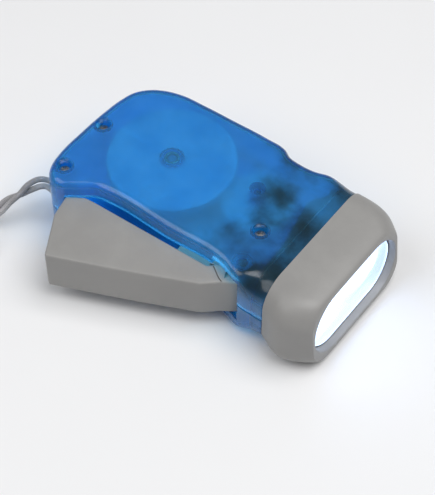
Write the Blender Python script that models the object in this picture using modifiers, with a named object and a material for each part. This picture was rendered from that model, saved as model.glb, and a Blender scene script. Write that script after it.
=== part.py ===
import math

import bmesh
import bpy
import numpy
from mathutils import Matrix, Vector

# A squeeze powered flashlight: a lever turns a drive gear, two more gear pairs spin a flywheel with
# a magnet on its shaft, and the coil beside the magnet lights three lamps in the head.
# Lengths are in metres. X runs from the rear wall to the head, Y from the lever side to the back,
# and Z is up, with the underside of the body at zero. The tables of shares are fractions of the
# sizes named beside them.

# Clearances
gap = 0.0003            # between pieces that touch or seat
running_gap = 0.0004    # beside pieces that move past each other
overrun = 0.0010        # how far a cutter runs past what it cuts
sink = 0.0006           # how far a boss is sunk into the wall that carries it
same_point = 0.000002   # points nearer to each other than this are one point

# Body
body_length = 0.0869        # rear wall to bezel
body_half_width = 0.0272    # at the bezel
body_height = 0.0288
shell_wall = 0.0018
edge_radius = 0.0030
neck_radius = 0.0095
neck_start = 0.0740
neck_end = 0.0850
outline_steps = 2
edge_steps = 3
# Shares of the body length and of the body half width, from the back of the head round the rear
shell_outline_shares = [
    (1.0, 1.0), (0.962, 0.992), (0.89, 0.941), (0.823, 0.864), (0.757, 0.849), (0.708, 0.868),
    (0.675, 0.926), (0.581, 0.945), (0.441, 0.93), (0.299, 0.912), (0.198, 0.886), (0.131, 0.82),
    (0.075, 0.71), (0.033, 0.544), (0.015, 0.342), (0.005, 0.059), (0.0, -0.368), (0.002, -0.735),
    (0.012, -0.919), (0.03, -1.044), (0.075, -1.158), (0.114, -1.151), (0.168, -1.04),
    (0.228, -0.915), (0.276, -0.89), (0.541, -0.89), (0.794, -0.89), (0.846, -0.945),
    (0.892, -0.99), (0.955, -1.0), (1.0, -1.0)]

# Spigot that carries the bezel
spigot_side_step = 0.0016    # how far the spigot stands inside the body's side
spigot_height_step = 0.0014  # and inside its top and underside
spigot_corner = 0.0079
spigot_wall = 0.0015
spigot_start = 0.0820
spigot_end = 0.0930

# Bezel, with sections as shares of its length, half width and half height
bezel_front = 0.1068
bezel_side_lip = 0.0014      # how far the bezel stands out past the body's side
bezel_height_lip = 0.0006    # and past its top and underside
bezel_corner_share = 0.63
# Sections of the bezel as shares: length, half width, half height, and lean toward the lever's side
bezel_section_shares = [
    (0.0, 0.951, 1.0, 0.0), (0.12, 0.97, 1.0, 0.018), (0.26, 0.992, 1.0, 0.042),
    (0.42, 0.997, 1.0, 0.059), (0.58, 0.972, 0.99, 0.063), (0.74, 0.923, 0.965, 0.063),
    (0.88, 0.871, 0.92, 0.063), (0.96, 0.843, 0.875, 0.060), (1.0, 0.825, 0.82, 0.058)]
corner_steps = 5
chamber_side_wall = 0.0018   # how far the reflector's chamber lies inside the spigot
chamber_height_wall = 0.0014
chamber_corner = 0.0070
lens_ledge = 0.0012

# Lens
lens_side_rim = 0.0069       # from the bezel's widest line to the lens
lens_height_rim = 0.0046
lens_thickness = 0.0015
lens_recess = 0.0030
lens_lean = 0.0014           # how far the lens sits toward the lever's side
lens_bevel = 0.0003

# Screws that hold the shells, with their places on the plan
screw_places = {"rear": (0.0044, -0.0028), "pivot": (0.0718, -0.0073), "heel": (0.0055, -0.0240)}
screw_head_radius = 0.0022
screw_head_height = 0.0016
screw_shank_radius = 0.0009
screw_driver_radius = 0.0012
screw_driver_depth = 0.0009
screw_boss_radius = 0.0033
screw_boss_depth = 0.0040
screw_post_radius = 0.0019

# Lever, turned about its pivot, with its outline as shares of its length and depth
pivot_x = 0.0744
pivot_y = -0.0203
lever_length = 0.0635
lever_depth = 0.0322
lever_wall = 0.0018
lever_bevel = 0.0010
ear_radius = 0.0042
ear_steps = 12
lever_inner_shares = [(-0.164, -0.14), (-0.643, -0.174), (-0.863, -0.189), (-0.917, -0.199)]
lever_tail_shares = [(-1.0, -0.298), (-1.0, -0.323), (-0.973, -0.553), (-0.844, -1.0)]
lever_outer_shares = [(-0.58, -0.776), (-0.414, -0.63), (-0.121, -0.36), (-0.05, -0.23)]
lever_front_share = (0.0079, -0.1537)
ear_start = math.radians(-60)
ear_end = math.radians(150)
rib_inner_shares = [(-0.05, -0.07), (-0.42, -0.19)]
rib_outer_shares = [(-0.42, -0.60), (-0.414, -0.60), (-0.125, -0.33), (-0.055, -0.21)]
hub_neck_radius = 0.0025
squeeze_angle = math.radians(22)
slot_front = 0.0029
slot_depth = 0.0215
slot_reach = 0.0400
slot_steps = 10
notch_back = 0.0094           # from the pivot
notch_step = 0.0040
notch_depth = 0.0016
notch_inner_depth = 0.0027

# Toothed sector of the lever
drive_module = 0.0008
sector_teeth = 64
sector_first_tooth = 19
sector_last_tooth = 27
sector_band = 0.0024
web_start = math.radians(153)
web_end = math.radians(197)
web_steps = 6

# Lever pin
pin_radius = 0.0015
pivot_boss_radius = 0.0033

# Return spring
spring_wire_radius = 0.00035
spring_radius = 0.0034
spring_turns = 2
spring_leg = 0.0140
spring_lever_leg = 0.0120
spring_points = 10
spring_lever_angle = math.radians(195)
spring_peg_radius = 0.0009
spring_peg_height = 0.0014
spring_peg_share = 0.85

# Tooth proportions
tooth_backlash = 0.00025
wheel_addendum_share = 0.85
pinion_addendum_share = 0.9
dedendum_share = 1.25
pressure_angle = math.radians(20)
wheel_flank_steps = 2
pinion_flank_steps = 3

# Drive shaft with the drive pinion, the clutch and the drive wheel
drive_x = 0.0610
drive_y = 0.0061
pinion_teeth = 10
pinion_shoulder_radius = 0.0030
pinion_boss_radius = 0.0020
pinion_sleeve_radius = 0.0016
shaft_radius = 0.0008
wheel_module = 0.0006
drive_wheel_teeth = 40
ratchet_radius = 0.0088
ratchet_depth = 0.0015
ratchet_teeth = 16
ratchet_tooth = 0.0010
pawl_ring_radius = 0.0036
pawl_tip_radius = 0.0074
pawl_width = 0.0011
pawl_sweep = math.radians(70)
pawl_steps = 5
shaft_boss_radius = 0.0027

# Idler gear on its own shaft
idler_x = 0.0464
idler_y = 0.00135
idler_pinion_teeth = 11
idler_hub_radius = 0.0026
idler_wheel_module = 0.0005
idler_wheel_teeth = 52
flywheel_x = 0.0310
flywheel_y = 0.0
flywheel_radius = 0.0215
flywheel_rim = 0.0040
flywheel_wall = 0.0015
flywheel_cup_clear = 0.0008   # round the roof's boss
flywheel_sides = 26
flywheel_hub_radius = 0.0040
flywheel_chamfer = 0.0004
flywheel_shaft_radius = 0.0015
flywheel_pinion_teeth = 10
bush_radius = 0.0026
bush_height = 0.0033
roof_bush_height = 0.0018
bush_boss_radius = 0.0039
magnet_radius = 0.0065
magnet_bevel = 0.0004

# Stator core of stacked plates round the magnet
core_leg = 0.0034
core_gap = 0.0005
core_yoke_bottom = 0.0140
core_yoke_top = 0.0176
pole_angle = math.radians(48)
pole_steps = 8
core_screw_inset = 0.0018
core_screw_radius = 0.0007
core_screw_head_radius = 0.0015
core_screw_head_height = 0.0012
core_post_radius = 0.0020

# Coil on its bobbin round the yoke
bobbin_wall = 0.0007
bobbin_flange = 0.0010
bobbin_rim = 0.0014
bobbin_corner = 0.0008
winding_loops = 10
winding_wire_radius = 0.0002

# Lamps, reflector and board in the head
board_back = 0.0886
board_thickness = 0.0016
lamp_pitch = 0.0115
lamp_count = 3
lamp_radius = 0.0025
lamp_flange_radius = 0.0029
lamp_flange_height = 0.0010
lamp_length = 0.0086
lamp_dome_steps = 3
reflector_back = 0.0918
reflector_flange = 0.0012
cup_inner_back_radius = 0.0028
cup_inner_front_radius = 0.0053
cup_wall = 0.0009

# Diodes on the back of the board
diode_radius = 0.0013
diode_length = 0.0046
diode_lead_radius = 0.0003
diode_lead_length = 0.0014
diode_rows = (-0.0150, -0.0072)
diode_offset = 0.0054        # of each row from the middle

# Button cell, its cradle and contacts
cell_clear_height = 0.0015   # above and below the cell inside the spigot
cell_thickness = 0.0032
cell_front = 0.0866
cell_to_leads = 0.0026      # from the cell's edge to the coil leads
cell_bevel = 0.0003
cradle_wall = 0.0010
cradle_height = 0.0025
cradle_half_length = 0.0070
contact_half_width = 0.0020
contact_thickness = 0.0003
contact_over_cradle = 0.0011
contact_above = 0.0028      # above the middle
contact_foot = 0.0022

# Leads from the coil to the board
lead_radius = 0.0003
lead_wall_gap = 0.0066      # from the body's half width to the leads
lead_spacing = 0.0026
lead_step = 0.0030

# Wrist strap, a thin cord doubled round the heel post and out of the rear wall
strap_diameter = 0.0020
strap_slot_length = 0.0070
strap_slot_width = 0.0076
strap_slot_back = -0.0208
# Shares of the length and the width of the slot in the wall, round the heel post
strap_slot_shares = [(-0.3, -0.21), (0.1, -0.21), (0.4, 0.0), (0.5, 0.0), (0.5, -0.66), (0.7, -0.75),
                     (0.7, -1.0), (0.2, -1.0), (0.1, -0.92), (-0.3, -0.92)]
strap_bend_steps = 6
strap_pair_spacing = 0.00248
strap_step = 0.0023
strap_lift = 0.0001
strap_coil_x = -0.0205
strap_coil_y = -0.0585
strap_coil_radius = 0.0122
strap_coil_pitch = 0.00246
strap_coil_turns = 3.5
strap_coil_facing = math.radians(65)
strap_coil_points = 24
# The strap's points, each with its height as a share of the body height. The strands inside,
# from the wall to the post
strap_inner_back = [(0.0016, -0.0231, 0.5), (0.0034, -0.0216, 0.5)]
strap_inner_front = [(0.0034, -0.0265, 0.5), (0.0016, -0.0266, 0.5)]
# Middle of the two strands from the wall to where they part, and their twist about each other
strap_route = [
    (-0.0002, -0.0251, 0.5), (-0.0020, -0.0252, 0.5035), (-0.0039, -0.0266, 0.5139),
    (-0.0060, -0.0296, 0.4826), (-0.0077, -0.0329, 0.4167), (-0.0102, -0.0360, 0.3403),
    (-0.0116, -0.0392, 0.2674), (-0.0128, -0.0424, 0.2153)]
strap_twists = [0, 5, 25, 75, 125, 165, 180, 180]
# Each strand from there to the coil
strand_near_route = [(-0.0098, -0.0475, 0.1806), (-0.0078, -0.0525, 0.1458), (-0.0071, -0.0570, 0.1181)]
strand_far_route = [(-0.0186, -0.0440, 0.1181), (-0.0244, -0.0444, 0.0486), (-0.0288, -0.0474, 0.0208)]

# Heights of the mechanism above the underside, as shares of the body height, from the lowest up
lever_height_shares = (0.2222, 0.7778)
notch_top_share = 0.882
rib_height_shares = (0.441, 0.559)
pin_height_shares = (0.0972, 0.9097)
screw_height_shares = (0.2431, 0.8333)
pinion_height_shares = (0.4167, 0.5833, 0.6042, 0.6389)
drive_wheel_height_shares = (0.6042, 0.6875)
pawl_height_shares = (0.6146, 0.6424)
shaft_height_shares = (0.0903, 0.8333, 0.7153, 0.9167)
idler_height_shares = (0.2917, 0.3542, 0.5903, 0.6875)
flywheel_height_shares = (0.6944, 0.7951, 0.8472, 0.9167)
flywheel_pinion_height_shares = (0.2778, 0.3819)
magnet_height_shares = (0.434, 0.6771)
core_height_shares = (0.2778, 0.4514, 0.6597)

# Places that follow from the sizes above
middle = body_height / 2
spigot_half_width = body_half_width - spigot_side_step
spigot_half_height = middle - spigot_height_step
bezel_half_width = body_half_width + bezel_side_lip
bezel_half_height = middle + bezel_height_lip
chamber_half_width = spigot_half_width - chamber_side_wall
chamber_half_height = spigot_half_height - chamber_height_wall
lens_half_width = bezel_half_width - lens_side_rim
lens_half_height = bezel_half_height - lens_height_rim
cell_radius = spigot_half_height - spigot_wall - cell_clear_height
lead_y = body_half_width - lead_wall_gap
cell_y = lead_y - cell_to_leads - cell_radius
cradle_top = middle - cell_radius + cradle_height
contact_bottom = cradle_top + contact_over_cradle
contact_top = middle + contact_above
lever_bottom, lever_top = (body_height * share for share in lever_height_shares)
rib_bottom, rib_top = (body_height * share for share in rib_height_shares)
pin_bottom, pin_top = (body_height * share for share in pin_height_shares)
screw_tip, screw_seat = (body_height * share for share in screw_height_shares)
(pinion_bottom, pinion_top, pinion_shoulder_top, pinion_boss_top) = (
    body_height * share for share in pinion_height_shares)
drive_wheel_bottom, drive_wheel_top = (body_height * share for share in drive_wheel_height_shares)
pawl_bottom, pawl_top = (body_height * share for share in pawl_height_shares)
(shaft_bottom, drive_shaft_top, idler_shaft_top, flywheel_shaft_top) = (
    body_height * share for share in shaft_height_shares)
(idler_wheel_bottom, idler_wheel_top, idler_pinion_bottom, idler_pinion_top) = (
    body_height * share for share in idler_height_shares)
(flywheel_hub_bottom, flywheel_bottom, flywheel_web_top, flywheel_top) = (
    body_height * share for share in flywheel_height_shares)
(flywheel_pinion_bottom, flywheel_pinion_top) = (
    body_height * share for share in flywheel_pinion_height_shares)
magnet_bottom, magnet_top = (body_height * share for share in magnet_height_shares)
core_screw_tip, core_bottom, core_top = (body_height * share for share in core_height_shares)
table = middle - bezel_half_height
bezel_back = body_length + gap
lens_front = bezel_front - lens_recess
lens_back = lens_front - lens_thickness
roof = body_height - shell_wall
lever_corner_y = pivot_y + lever_depth * lever_tail_shares[-1][1]
sector_pitch_radius = sector_teeth * drive_module / 2
sector_root_radius = sector_pitch_radius - dedendum_share * drive_module
sector_inner_radius = sector_root_radius - sector_band
spring_bottom = rib_top + gap + spring_wire_radius
spring_top = lever_top - lever_wall - gap - spring_wire_radius


def clear_scene():
    for item in list(bpy.data.objects):
        bpy.data.objects.remove(item, do_unlink=True)


def new_collection(name):
    collection = bpy.data.collections.new(name)
    bpy.context.scene.collection.children.link(collection)
    return collection


def new_material(name, color, roughness, metallic=0.0, alpha=1.0):
    material = bpy.data.materials.new(name)
    material.use_nodes = True
    shader = material.node_tree.nodes["Principled BSDF"]
    shader.inputs["Base Color"].default_value = (*color, 1.0)
    shader.inputs["Roughness"].default_value = roughness
    shader.inputs["Metallic"].default_value = metallic
    shader.inputs["Alpha"].default_value = alpha
    material.diffuse_color = (*color, alpha)
    return material


clear_scene()
flashlight = new_collection("flashlight")
cutters = new_collection("cutters")

blue_plastic = new_material("blue_plastic", (0.02, 0.20, 0.62), 0.12, alpha=0.55)
grey_plastic = new_material("grey_plastic", (0.30, 0.30, 0.29), 0.45)
white_plastic = new_material("white_plastic", (0.80, 0.80, 0.76), 0.35)
black_plastic = new_material("black_plastic", (0.02, 0.02, 0.025), 0.40)
clear_plastic = new_material("clear_plastic", (0.85, 0.93, 1.0), 0.05, alpha=0.3)
mirror_coat = new_material("mirror_coat", (0.85, 0.87, 0.90), 0.10, 1.0)
steel = new_material("steel", (0.45, 0.45, 0.46), 0.30, 1.0)
zinc = new_material("zinc", (0.32, 0.32, 0.34), 0.42, 1.0)
brass = new_material("brass", (0.66, 0.48, 0.20), 0.30, 1.0)
copper = new_material("copper", (0.62, 0.26, 0.12), 0.28, 1.0)
ferrite = new_material("ferrite", (0.06, 0.06, 0.065), 0.55, 0.3)
board_green = new_material("board_green", (0.03, 0.22, 0.08), 0.40)
lamp_resin = new_material("lamp_resin", (0.90, 0.90, 0.80), 0.06, alpha=0.6)
strap_cord = new_material("strap_cord", (0.42, 0.42, 0.43), 0.45)


def new_frame(name, place, parent=None):
    frame = bpy.data.objects.new(name, None)
    frame.location = place
    frame.parent = parent
    flashlight.objects.link(frame)
    return frame


# The part's own origin is under the middle of its box, on the table
origin_x = bezel_front / 2
origin_y = (lever_corner_y + bezel_half_width * max(width for _, width, _, _ in bezel_section_shares)) / 2
body_frame = new_frame("body_frame", (-origin_x, -origin_y, -table))
lever_frame = new_frame("lever_frame", (pivot_x, pivot_y, 0), body_frame)
drive_frame = new_frame("drive_frame", (drive_x, drive_y, 0), body_frame)
idler_frame = new_frame("idler_frame", (idler_x, idler_y, 0), body_frame)
flywheel_frame = new_frame("flywheel_frame", (flywheel_x, flywheel_y, 0), body_frame)


def new_object(name, mesh, material, frame, place, turn=(0, 0, 0)):
    """A piece when it has a material, and a cutter or a tool when it has none."""
    item = bpy.data.objects.new(name, mesh)
    item.parent = frame
    item.location = place
    item.rotation_euler = turn
    if material is None:
        cutters.objects.link(item)
        item.hide_render = True
        item.display_type = "WIRE"
    else:
        flashlight.objects.link(item)
        mesh.materials.append(material)
    return item


def smooth_mesh(mesh):
    mesh.shade_smooth()
    mesh.set_sharp_from_angle(angle=math.radians(35))


def mesh_from_curve(name, curve):
    """Turn a curve into a closed mesh, so that it can be cut and bevelled."""
    guide = bpy.data.objects.new(name, curve)
    cutters.objects.link(guide)
    bpy.context.view_layer.update()
    mesh = bpy.data.meshes.new_from_object(guide.evaluated_get(bpy.context.evaluated_depsgraph_get()))
    bpy.data.objects.remove(guide, do_unlink=True)
    bpy.data.curves.remove(curve)
    mesh.name = name
    shape = bmesh.new()
    shape.from_mesh(mesh)
    bmesh.ops.remove_doubles(shape, verts=shape.verts, dist=same_point / 2)
    bmesh.ops.recalc_face_normals(shape, faces=shape.faces)
    shape.to_mesh(mesh)
    shape.free()
    smooth_mesh(mesh)
    return mesh


def plate(name, outlines, bottom, top, material=None, frame=body_frame, place=(0, 0), along="Z"):
    """A flat outline, with any holes, between two heights; along X its outline lies in Y and Z."""
    curve = bpy.data.curves.new(name, "CURVE")
    curve.dimensions = "2D"
    curve.fill_mode = "BOTH"
    curve.extrude = (top - bottom) / 2
    for outline in outlines:
        spline = curve.splines.new("POLY")
        spline.points.add(len(outline) - 1)
        for point, (x, y) in zip(spline.points, outline):
            point.co = (x, y, 0, 1)
        spline.use_cyclic_u = True
    mesh = mesh_from_curve(name, curve)
    if along == "X":
        # The outline's first value becomes Y and its second Z
        mesh.transform(Matrix(((0, 0, 1, 0), (1, 0, 0, 0), (0, 1, 0, 0), (0, 0, 0, 1))))
        return new_object(name, mesh, material, frame, ((top + bottom) / 2, *place))
    return new_object(name, mesh, material, frame, (*place, (top + bottom) / 2))


def cylinder(name, radius, bottom, top, material=None, frame=body_frame, place=(0, 0), sides=16,
             along="Z", top_radius=None):
    mesh = bpy.data.meshes.new(name)
    shape = bmesh.new()
    far_radius = radius if top_radius is None else top_radius
    bmesh.ops.create_cone(shape, cap_ends=True, segments=sides, radius1=radius, radius2=far_radius,
                          depth=top - bottom)
    shape.to_mesh(mesh)
    shape.free()
    smooth_mesh(mesh)
    if along == "X":
        mesh.transform(Matrix.Rotation(math.radians(90), 4, "Y"))
        return new_object(name, mesh, material, frame, ((top + bottom) / 2, *place))
    return new_object(name, mesh, material, frame, (*place, (top + bottom) / 2))


def block(name, low, high, material=None, frame=body_frame):
    mesh = bpy.data.meshes.new(name)
    shape = bmesh.new()
    bmesh.ops.create_cube(shape, size=1)
    size = Vector(high) - Vector(low)
    bmesh.ops.scale(shape, vec=size, verts=shape.verts)
    shape.to_mesh(mesh)
    shape.free()
    return new_object(name, mesh, material, frame, (Vector(high) + Vector(low)) / 2)


def turned(name, profile, material, frame, place=(0, 0, 0), sides=32, turn=(0, 0, 0)):
    """A profile of radius and height, outer side from top to bottom, turned about Z."""
    mesh = bpy.data.meshes.new(name)
    corners = [(radius, 0, height) for radius, height in profile]
    mesh.from_pydata(corners, [(i, i + 1) for i in range(len(corners) - 1)], [])
    if profile[0][0] > 0:
        shape = bmesh.new()
        shape.from_mesh(mesh)
        shape.verts.ensure_lookup_table()
        shape.edges.new((shape.verts[-1], shape.verts[0]))
        shape.to_mesh(mesh)
        shape.free()
    item = new_object(name, mesh, material, frame, place, turn)
    screw = item.modifiers.new("turn", "SCREW")
    screw.steps = sides
    screw.render_steps = sides
    screw.use_merge_vertices = True
    screw.merge_threshold = same_point
    screw.use_smooth_shade = True
    return item


def tube(name, points, radius, material, frame=body_frame, detail=1):
    """A wire or a cord along the points, with closed ends."""
    curve = bpy.data.curves.new(name, "CURVE")
    curve.dimensions = "3D"
    curve.bevel_depth = radius
    curve.bevel_resolution = detail
    curve.use_fill_caps = True
    spline = curve.splines.new("POLY")
    spline.points.add(len(points) - 1)
    for point, spot in zip(spline.points, points):
        point.co = (*spot, 1)
    return new_object(name, mesh_from_curve(name, curve), material, frame, (0, 0, 0))


def apply_boolean(target, tool, operation):
    change = target.modifiers.new(tool.name, "BOOLEAN")
    change.operation = operation
    change.solver = "EXACT"
    change.object = tool


def cut(target, *tools):
    for tool in tools:
        apply_boolean(target, tool, "DIFFERENCE")


def join(target, *tools):
    for tool in tools:
        apply_boolean(target, tool, "UNION")


def bevel(target, width, segments=2, angle=35):
    change = target.modifiers.new("rounded edges", "BEVEL")
    change.width = width
    change.segments = segments
    change.limit_method = "ANGLE"
    change.angle_limit = math.radians(angle)


def circle(radius, x=0, y=0, sides=24):
    return [(x + radius * math.cos(math.tau * i / sides), y + radius * math.sin(math.tau * i / sides))
            for i in range(sides)]


def arc(radius, start, end, steps, x=0, y=0):
    return [(x + radius * math.cos(start + (end - start) * i / steps),
             y + radius * math.sin(start + (end - start) * i / steps)) for i in range(steps + 1)]


def scaled(shares, length, width):
    return [(length * x, width * y) for x, y in shares]


def rounded_rectangle(half_width, half_height, corner, steps=corner_steps):
    points = []
    for quarter, (side, end) in enumerate([(1, 1), (-1, 1), (-1, -1), (1, -1)]):
        start = math.radians(90) * quarter
        points += arc(corner, start, start + math.radians(90), steps,
                      side * (half_width - corner), end * (half_height - corner))
    return points


def smooth_path(points, steps):
    """Points on a smooth curve through the given ones, without overshoot at uneven spacing."""
    spots = [Vector(point) for point in points]
    spans = [(b - a).length for a, b in zip(spots, spots[1:])]
    slopes = [(spots[1] - spots[0]) / spans[0]]
    for i in range(1, len(spots) - 1):
        before = (spots[i] - spots[i - 1]) / spans[i - 1]
        after = (spots[i + 1] - spots[i]) / spans[i]
        slopes.append((before * spans[i] + after * spans[i - 1]) / (spans[i - 1] + spans[i]))
    slopes.append((spots[-1] - spots[-2]) / spans[-1])
    path = []
    for i, span in enumerate(spans):
        for step in range(steps):
            t = step / steps
            path.append(spots[i] * (2 * t**3 - 3 * t**2 + 1) + slopes[i] * span * (t**3 - 2 * t**2 + t)
                        + spots[i + 1] * (3 * t**2 - 2 * t**3) + slopes[i + 1] * span * (t**3 - t**2))
    path.append(spots[-1])
    return path


def even_path(points, spacing):
    """The same smooth curve with its points at an even spacing."""
    fine = smooth_path(points, 24)
    lengths = numpy.concatenate([[0], numpy.cumsum([(b - a).length for a, b in zip(fine, fine[1:])])])
    count = max(2, round(lengths[-1] / spacing))
    stops = numpy.linspace(0, lengths[-1], count + 1)
    columns = [numpy.interp(stops, lengths, [spot[axis] for spot in fine]) for axis in range(3)]
    return [Vector(spot) for spot in zip(*columns)]


def involute(angle):
    return math.tan(angle) - angle


def tooth_outline(teeth, module, addendum_share, flank_steps, first=0, last=None, phase=0.0):
    """The teeth of a gear from the first to the last, anticlockwise."""
    pitch = teeth * module / 2
    base = pitch * math.cos(pressure_angle)
    tip = pitch + addendum_share * module
    root = pitch - dedendum_share * module
    half = math.pi / (2 * teeth) - tooth_backlash / (2 * pitch)
    start = max(base, root)
    radii = [root] if root < base else []
    radii += [start + (tip - start) * i / (flank_steps - 1) for i in range(flank_steps)]
    spreads = [half + involute(pressure_angle) - involute(math.acos(min(1, base / max(radius, base))))
               for radius in radii]
    flank = list(zip(radii, spreads))
    points = []
    for tooth in range(first, teeth if last is None else last):
        centre = phase + math.tau * tooth / teeth
        points += [(r * math.cos(centre - spread), r * math.sin(centre - spread)) for r, spread in flank]
        points += [(r * math.cos(centre + spread), r * math.sin(centre + spread))
                   for r, spread in reversed(flank)]
    return points


def meshing_phase(teeth, direction, partner_teeth, partner_phase):
    """Where a tooth points so that the gear meshes with a partner that lies against the direction."""
    lead = (direction - partner_phase) * partner_teeth / teeth
    return direction + math.pi + math.pi / teeth + lead


def direction_between(start, end):
    return math.atan2(end[1] - start[1], end[0] - start[0])


def edge_radius_at(x):
    """The shell's edge radius, which grows toward the head."""
    share = min(1, max(0, (x - neck_start) / (neck_end - neck_start)))
    return edge_radius + (neck_radius - edge_radius) * share * share * (3 - 2 * share)


def shell_surface(name, side):
    """The outer surface of a half shell, open at the parting line and at the head."""
    spots = smooth_path([(x, y, 0) for x, y in scaled(shell_outline_shares, body_length, body_half_width)],
                        outline_steps)
    inward = []
    for before, after in zip([spots[0]] + spots[:-1], spots[1:] + [spots[-1]]):
        along = (after - before).normalized()
        inward.append(Vector((-along.y, along.x, 0)))
    inward[0] = Vector((0, -1, 0))
    inward[-1] = Vector((0, 1, 0))
    parting = middle + side * gap / 2
    shape = bmesh.new()
    rows = [[shape.verts.new((spot.x, spot.y, parting)) for spot in spots]]
    for step in range(edge_steps + 1):
        angle = math.radians(90) * step / edge_steps
        row = []
        for spot, normal in zip(spots, inward):
            radius = edge_radius_at(spot.x)
            level = middle + side * (middle - radius * (1 - math.sin(angle)))
            inset = spot + normal * radius * (1 - math.cos(angle))
            row.append(shape.verts.new((inset.x, inset.y, level)))
        rows.append(row)
    for lower, upper in zip(rows, rows[1:]):
        for a, b, c, d in zip(lower, lower[1:], upper[1:], upper):
            shape.faces.new((a, b, c, d))
    cap = shape.faces.new(rows[-1])
    bmesh.ops.recalc_face_normals(shape, faces=shape.faces)
    cap.normal_update()
    if cap.normal.z * side < 0:
        bmesh.ops.reverse_faces(shape, faces=shape.faces)
    mesh = bpy.data.meshes.new(name)
    shape.to_mesh(mesh)
    shape.free()
    smooth_mesh(mesh)
    return mesh


def spigot_half(name, side):
    """Half of the ring that the bezel slides over."""
    outer = rounded_rectangle(spigot_half_width, spigot_half_height, spigot_corner)
    inner = rounded_rectangle(spigot_half_width - spigot_wall, spigot_half_height - spigot_wall,
                              spigot_corner - spigot_wall)
    outer_half = arc_sorted([spot for spot in outer if spot[1] * side > 0])
    inner_half = arc_sorted([spot for spot in inner if spot[1] * side > 0])[::-1]
    foot = side * gap / 2
    outline = ([(-spigot_half_width, foot)] + outer_half + [(spigot_half_width, foot)]
               + [(spigot_half_width - spigot_wall, foot)] + inner_half
               + [(spigot_wall - spigot_half_width, foot)])
    return plate(name, [outline], spigot_start, spigot_end, place=(0, middle), along="X")


def arc_sorted(points):
    """Points of a half ring in order from its -X end to its +X end."""
    return sorted(points, key=lambda spot: -math.atan2(abs(spot[1]), spot[0]))


def half_shell(name, side):
    shell = new_object(name, shell_surface(name, side), blue_plastic, body_frame, (0, 0, 0))
    wall = shell.modifiers.new("wall", "SOLIDIFY")
    wall.thickness = shell_wall
    wall.offset = -1
    wall.use_even_offset = True
    join(shell, spigot_half(f"{name}_spigot", side))
    return shell


def make_shells():
    upper = half_shell("upper_shell", 1)
    lower = half_shell("lower_shell", -1)
    parting_up = middle + gap / 2
    parting_down = middle - gap / 2
    floor_seat = shell_wall - sink
    roof_seat = roof + sink
    for where, place in screw_places.items():
        boss = cylinder(f"{where}_boss", screw_boss_radius, screw_seat - screw_boss_depth, roof_seat, place=place)
        neck = cylinder(f"{where}_neck", screw_post_radius, parting_up, screw_seat, place=place)
        post = cylinder(f"{where}_post", screw_post_radius, floor_seat, parting_down, place=place)
        join(upper, boss, neck)
        join(lower, post)
    floor_bosses = [
        ("pivot_floor", pivot_boss_radius, lever_bottom - running_gap, (pivot_x, pivot_y)),
        ("drive_floor", shaft_boss_radius, idler_wheel_bottom - running_gap, (drive_x, drive_y)),
        ("idler_floor", shaft_boss_radius, idler_wheel_bottom - running_gap, (idler_x, idler_y)),
        ("flywheel_floor", bush_boss_radius, flywheel_pinion_bottom - running_gap,
         (flywheel_x, flywheel_y))]
    for label, radius, top, place in floor_bosses:
        join(lower, cylinder(f"{label}_boss", radius, floor_seat, top, place=place))
    for label, place in core_screw_places().items():
        join(lower, cylinder(f"{label}_post", core_post_radius, floor_seat, core_bottom - gap, place=place))
    roof_bosses = [
        ("pivot_roof", pivot_boss_radius, lever_top + running_gap, (pivot_x, pivot_y)),
        ("drive_roof", shaft_boss_radius, drive_wheel_top + running_gap, (drive_x, drive_y)),
        ("flywheel_roof", bush_boss_radius, flywheel_web_top + running_gap, (flywheel_x, flywheel_y))]
    for label, radius, bottom, place in roof_bosses:
        join(upper, cylinder(f"{label}_boss", radius, bottom, roof_seat, place=place))
    join(lower, cradle_block())

    for where, place in screw_places.items():
        hole = screw_shank_radius + gap
        recess = screw_head_radius + gap
        cut(upper, cylinder(f"{where}_recess", recess, screw_seat, body_height + overrun, place=place),
            cylinder(f"{where}_hole", hole, parting_up - overrun, screw_seat + overrun, place=place, sides=12))
        cut(lower, cylinder(f"{where}_thread", hole, screw_tip - gap, parting_down + overrun, place=place,
                            sides=12))
    for label, place in core_screw_places().items():
        cut(lower, cylinder(f"{label}_thread", core_screw_radius + gap, core_screw_tip - gap,
                            core_bottom + overrun, place=place, sides=12))
    pin_hole = pin_radius + gap
    shaft_hole = shaft_radius + gap
    spindle_hole = flywheel_shaft_radius + gap
    bush_hole = bush_radius + gap
    bush_ledge = flywheel_pinion_bottom - running_gap - gap - bush_height - gap
    cut(lower,
        cylinder("pin_socket", pin_hole, pin_bottom - gap, lever_bottom + overrun, place=(pivot_x, pivot_y)),
        cylinder("drive_socket", shaft_hole, shaft_bottom - gap, idler_wheel_bottom + overrun,
                 place=(drive_x, drive_y), sides=12),
        cylinder("idler_socket", shaft_hole, shaft_bottom - gap, idler_wheel_bottom + overrun,
                 place=(idler_x, idler_y), sides=12),
        cylinder("flywheel_socket", spindle_hole, shaft_bottom - gap, flywheel_pinion_bottom,
                 place=(flywheel_x, flywheel_y)),
        cylinder("floor_bush_socket", bush_hole, bush_ledge, flywheel_pinion_bottom + overrun,
                 place=(flywheel_x, flywheel_y)),
        cell_clearance())
    cut(upper,
        cylinder("pin_roof_socket", pin_hole, lever_top - overrun, pin_top + gap, place=(pivot_x, pivot_y)),
        cylinder("drive_roof_socket", shaft_hole, drive_wheel_top - overrun, drive_shaft_top + gap,
                 place=(drive_x, drive_y), sides=12),
        cylinder("roof_bush_socket", bush_hole, flywheel_web_top - overrun,
                 flywheel_web_top + running_gap + gap + roof_bush_height + gap,
                 place=(flywheel_x, flywheel_y)))
    slot = lever_opening()
    strap_slot = strap_opening()
    for shell in (upper, lower):
        cut(shell, slot, strap_slot)
    cut(upper, hinge_notch())


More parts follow.
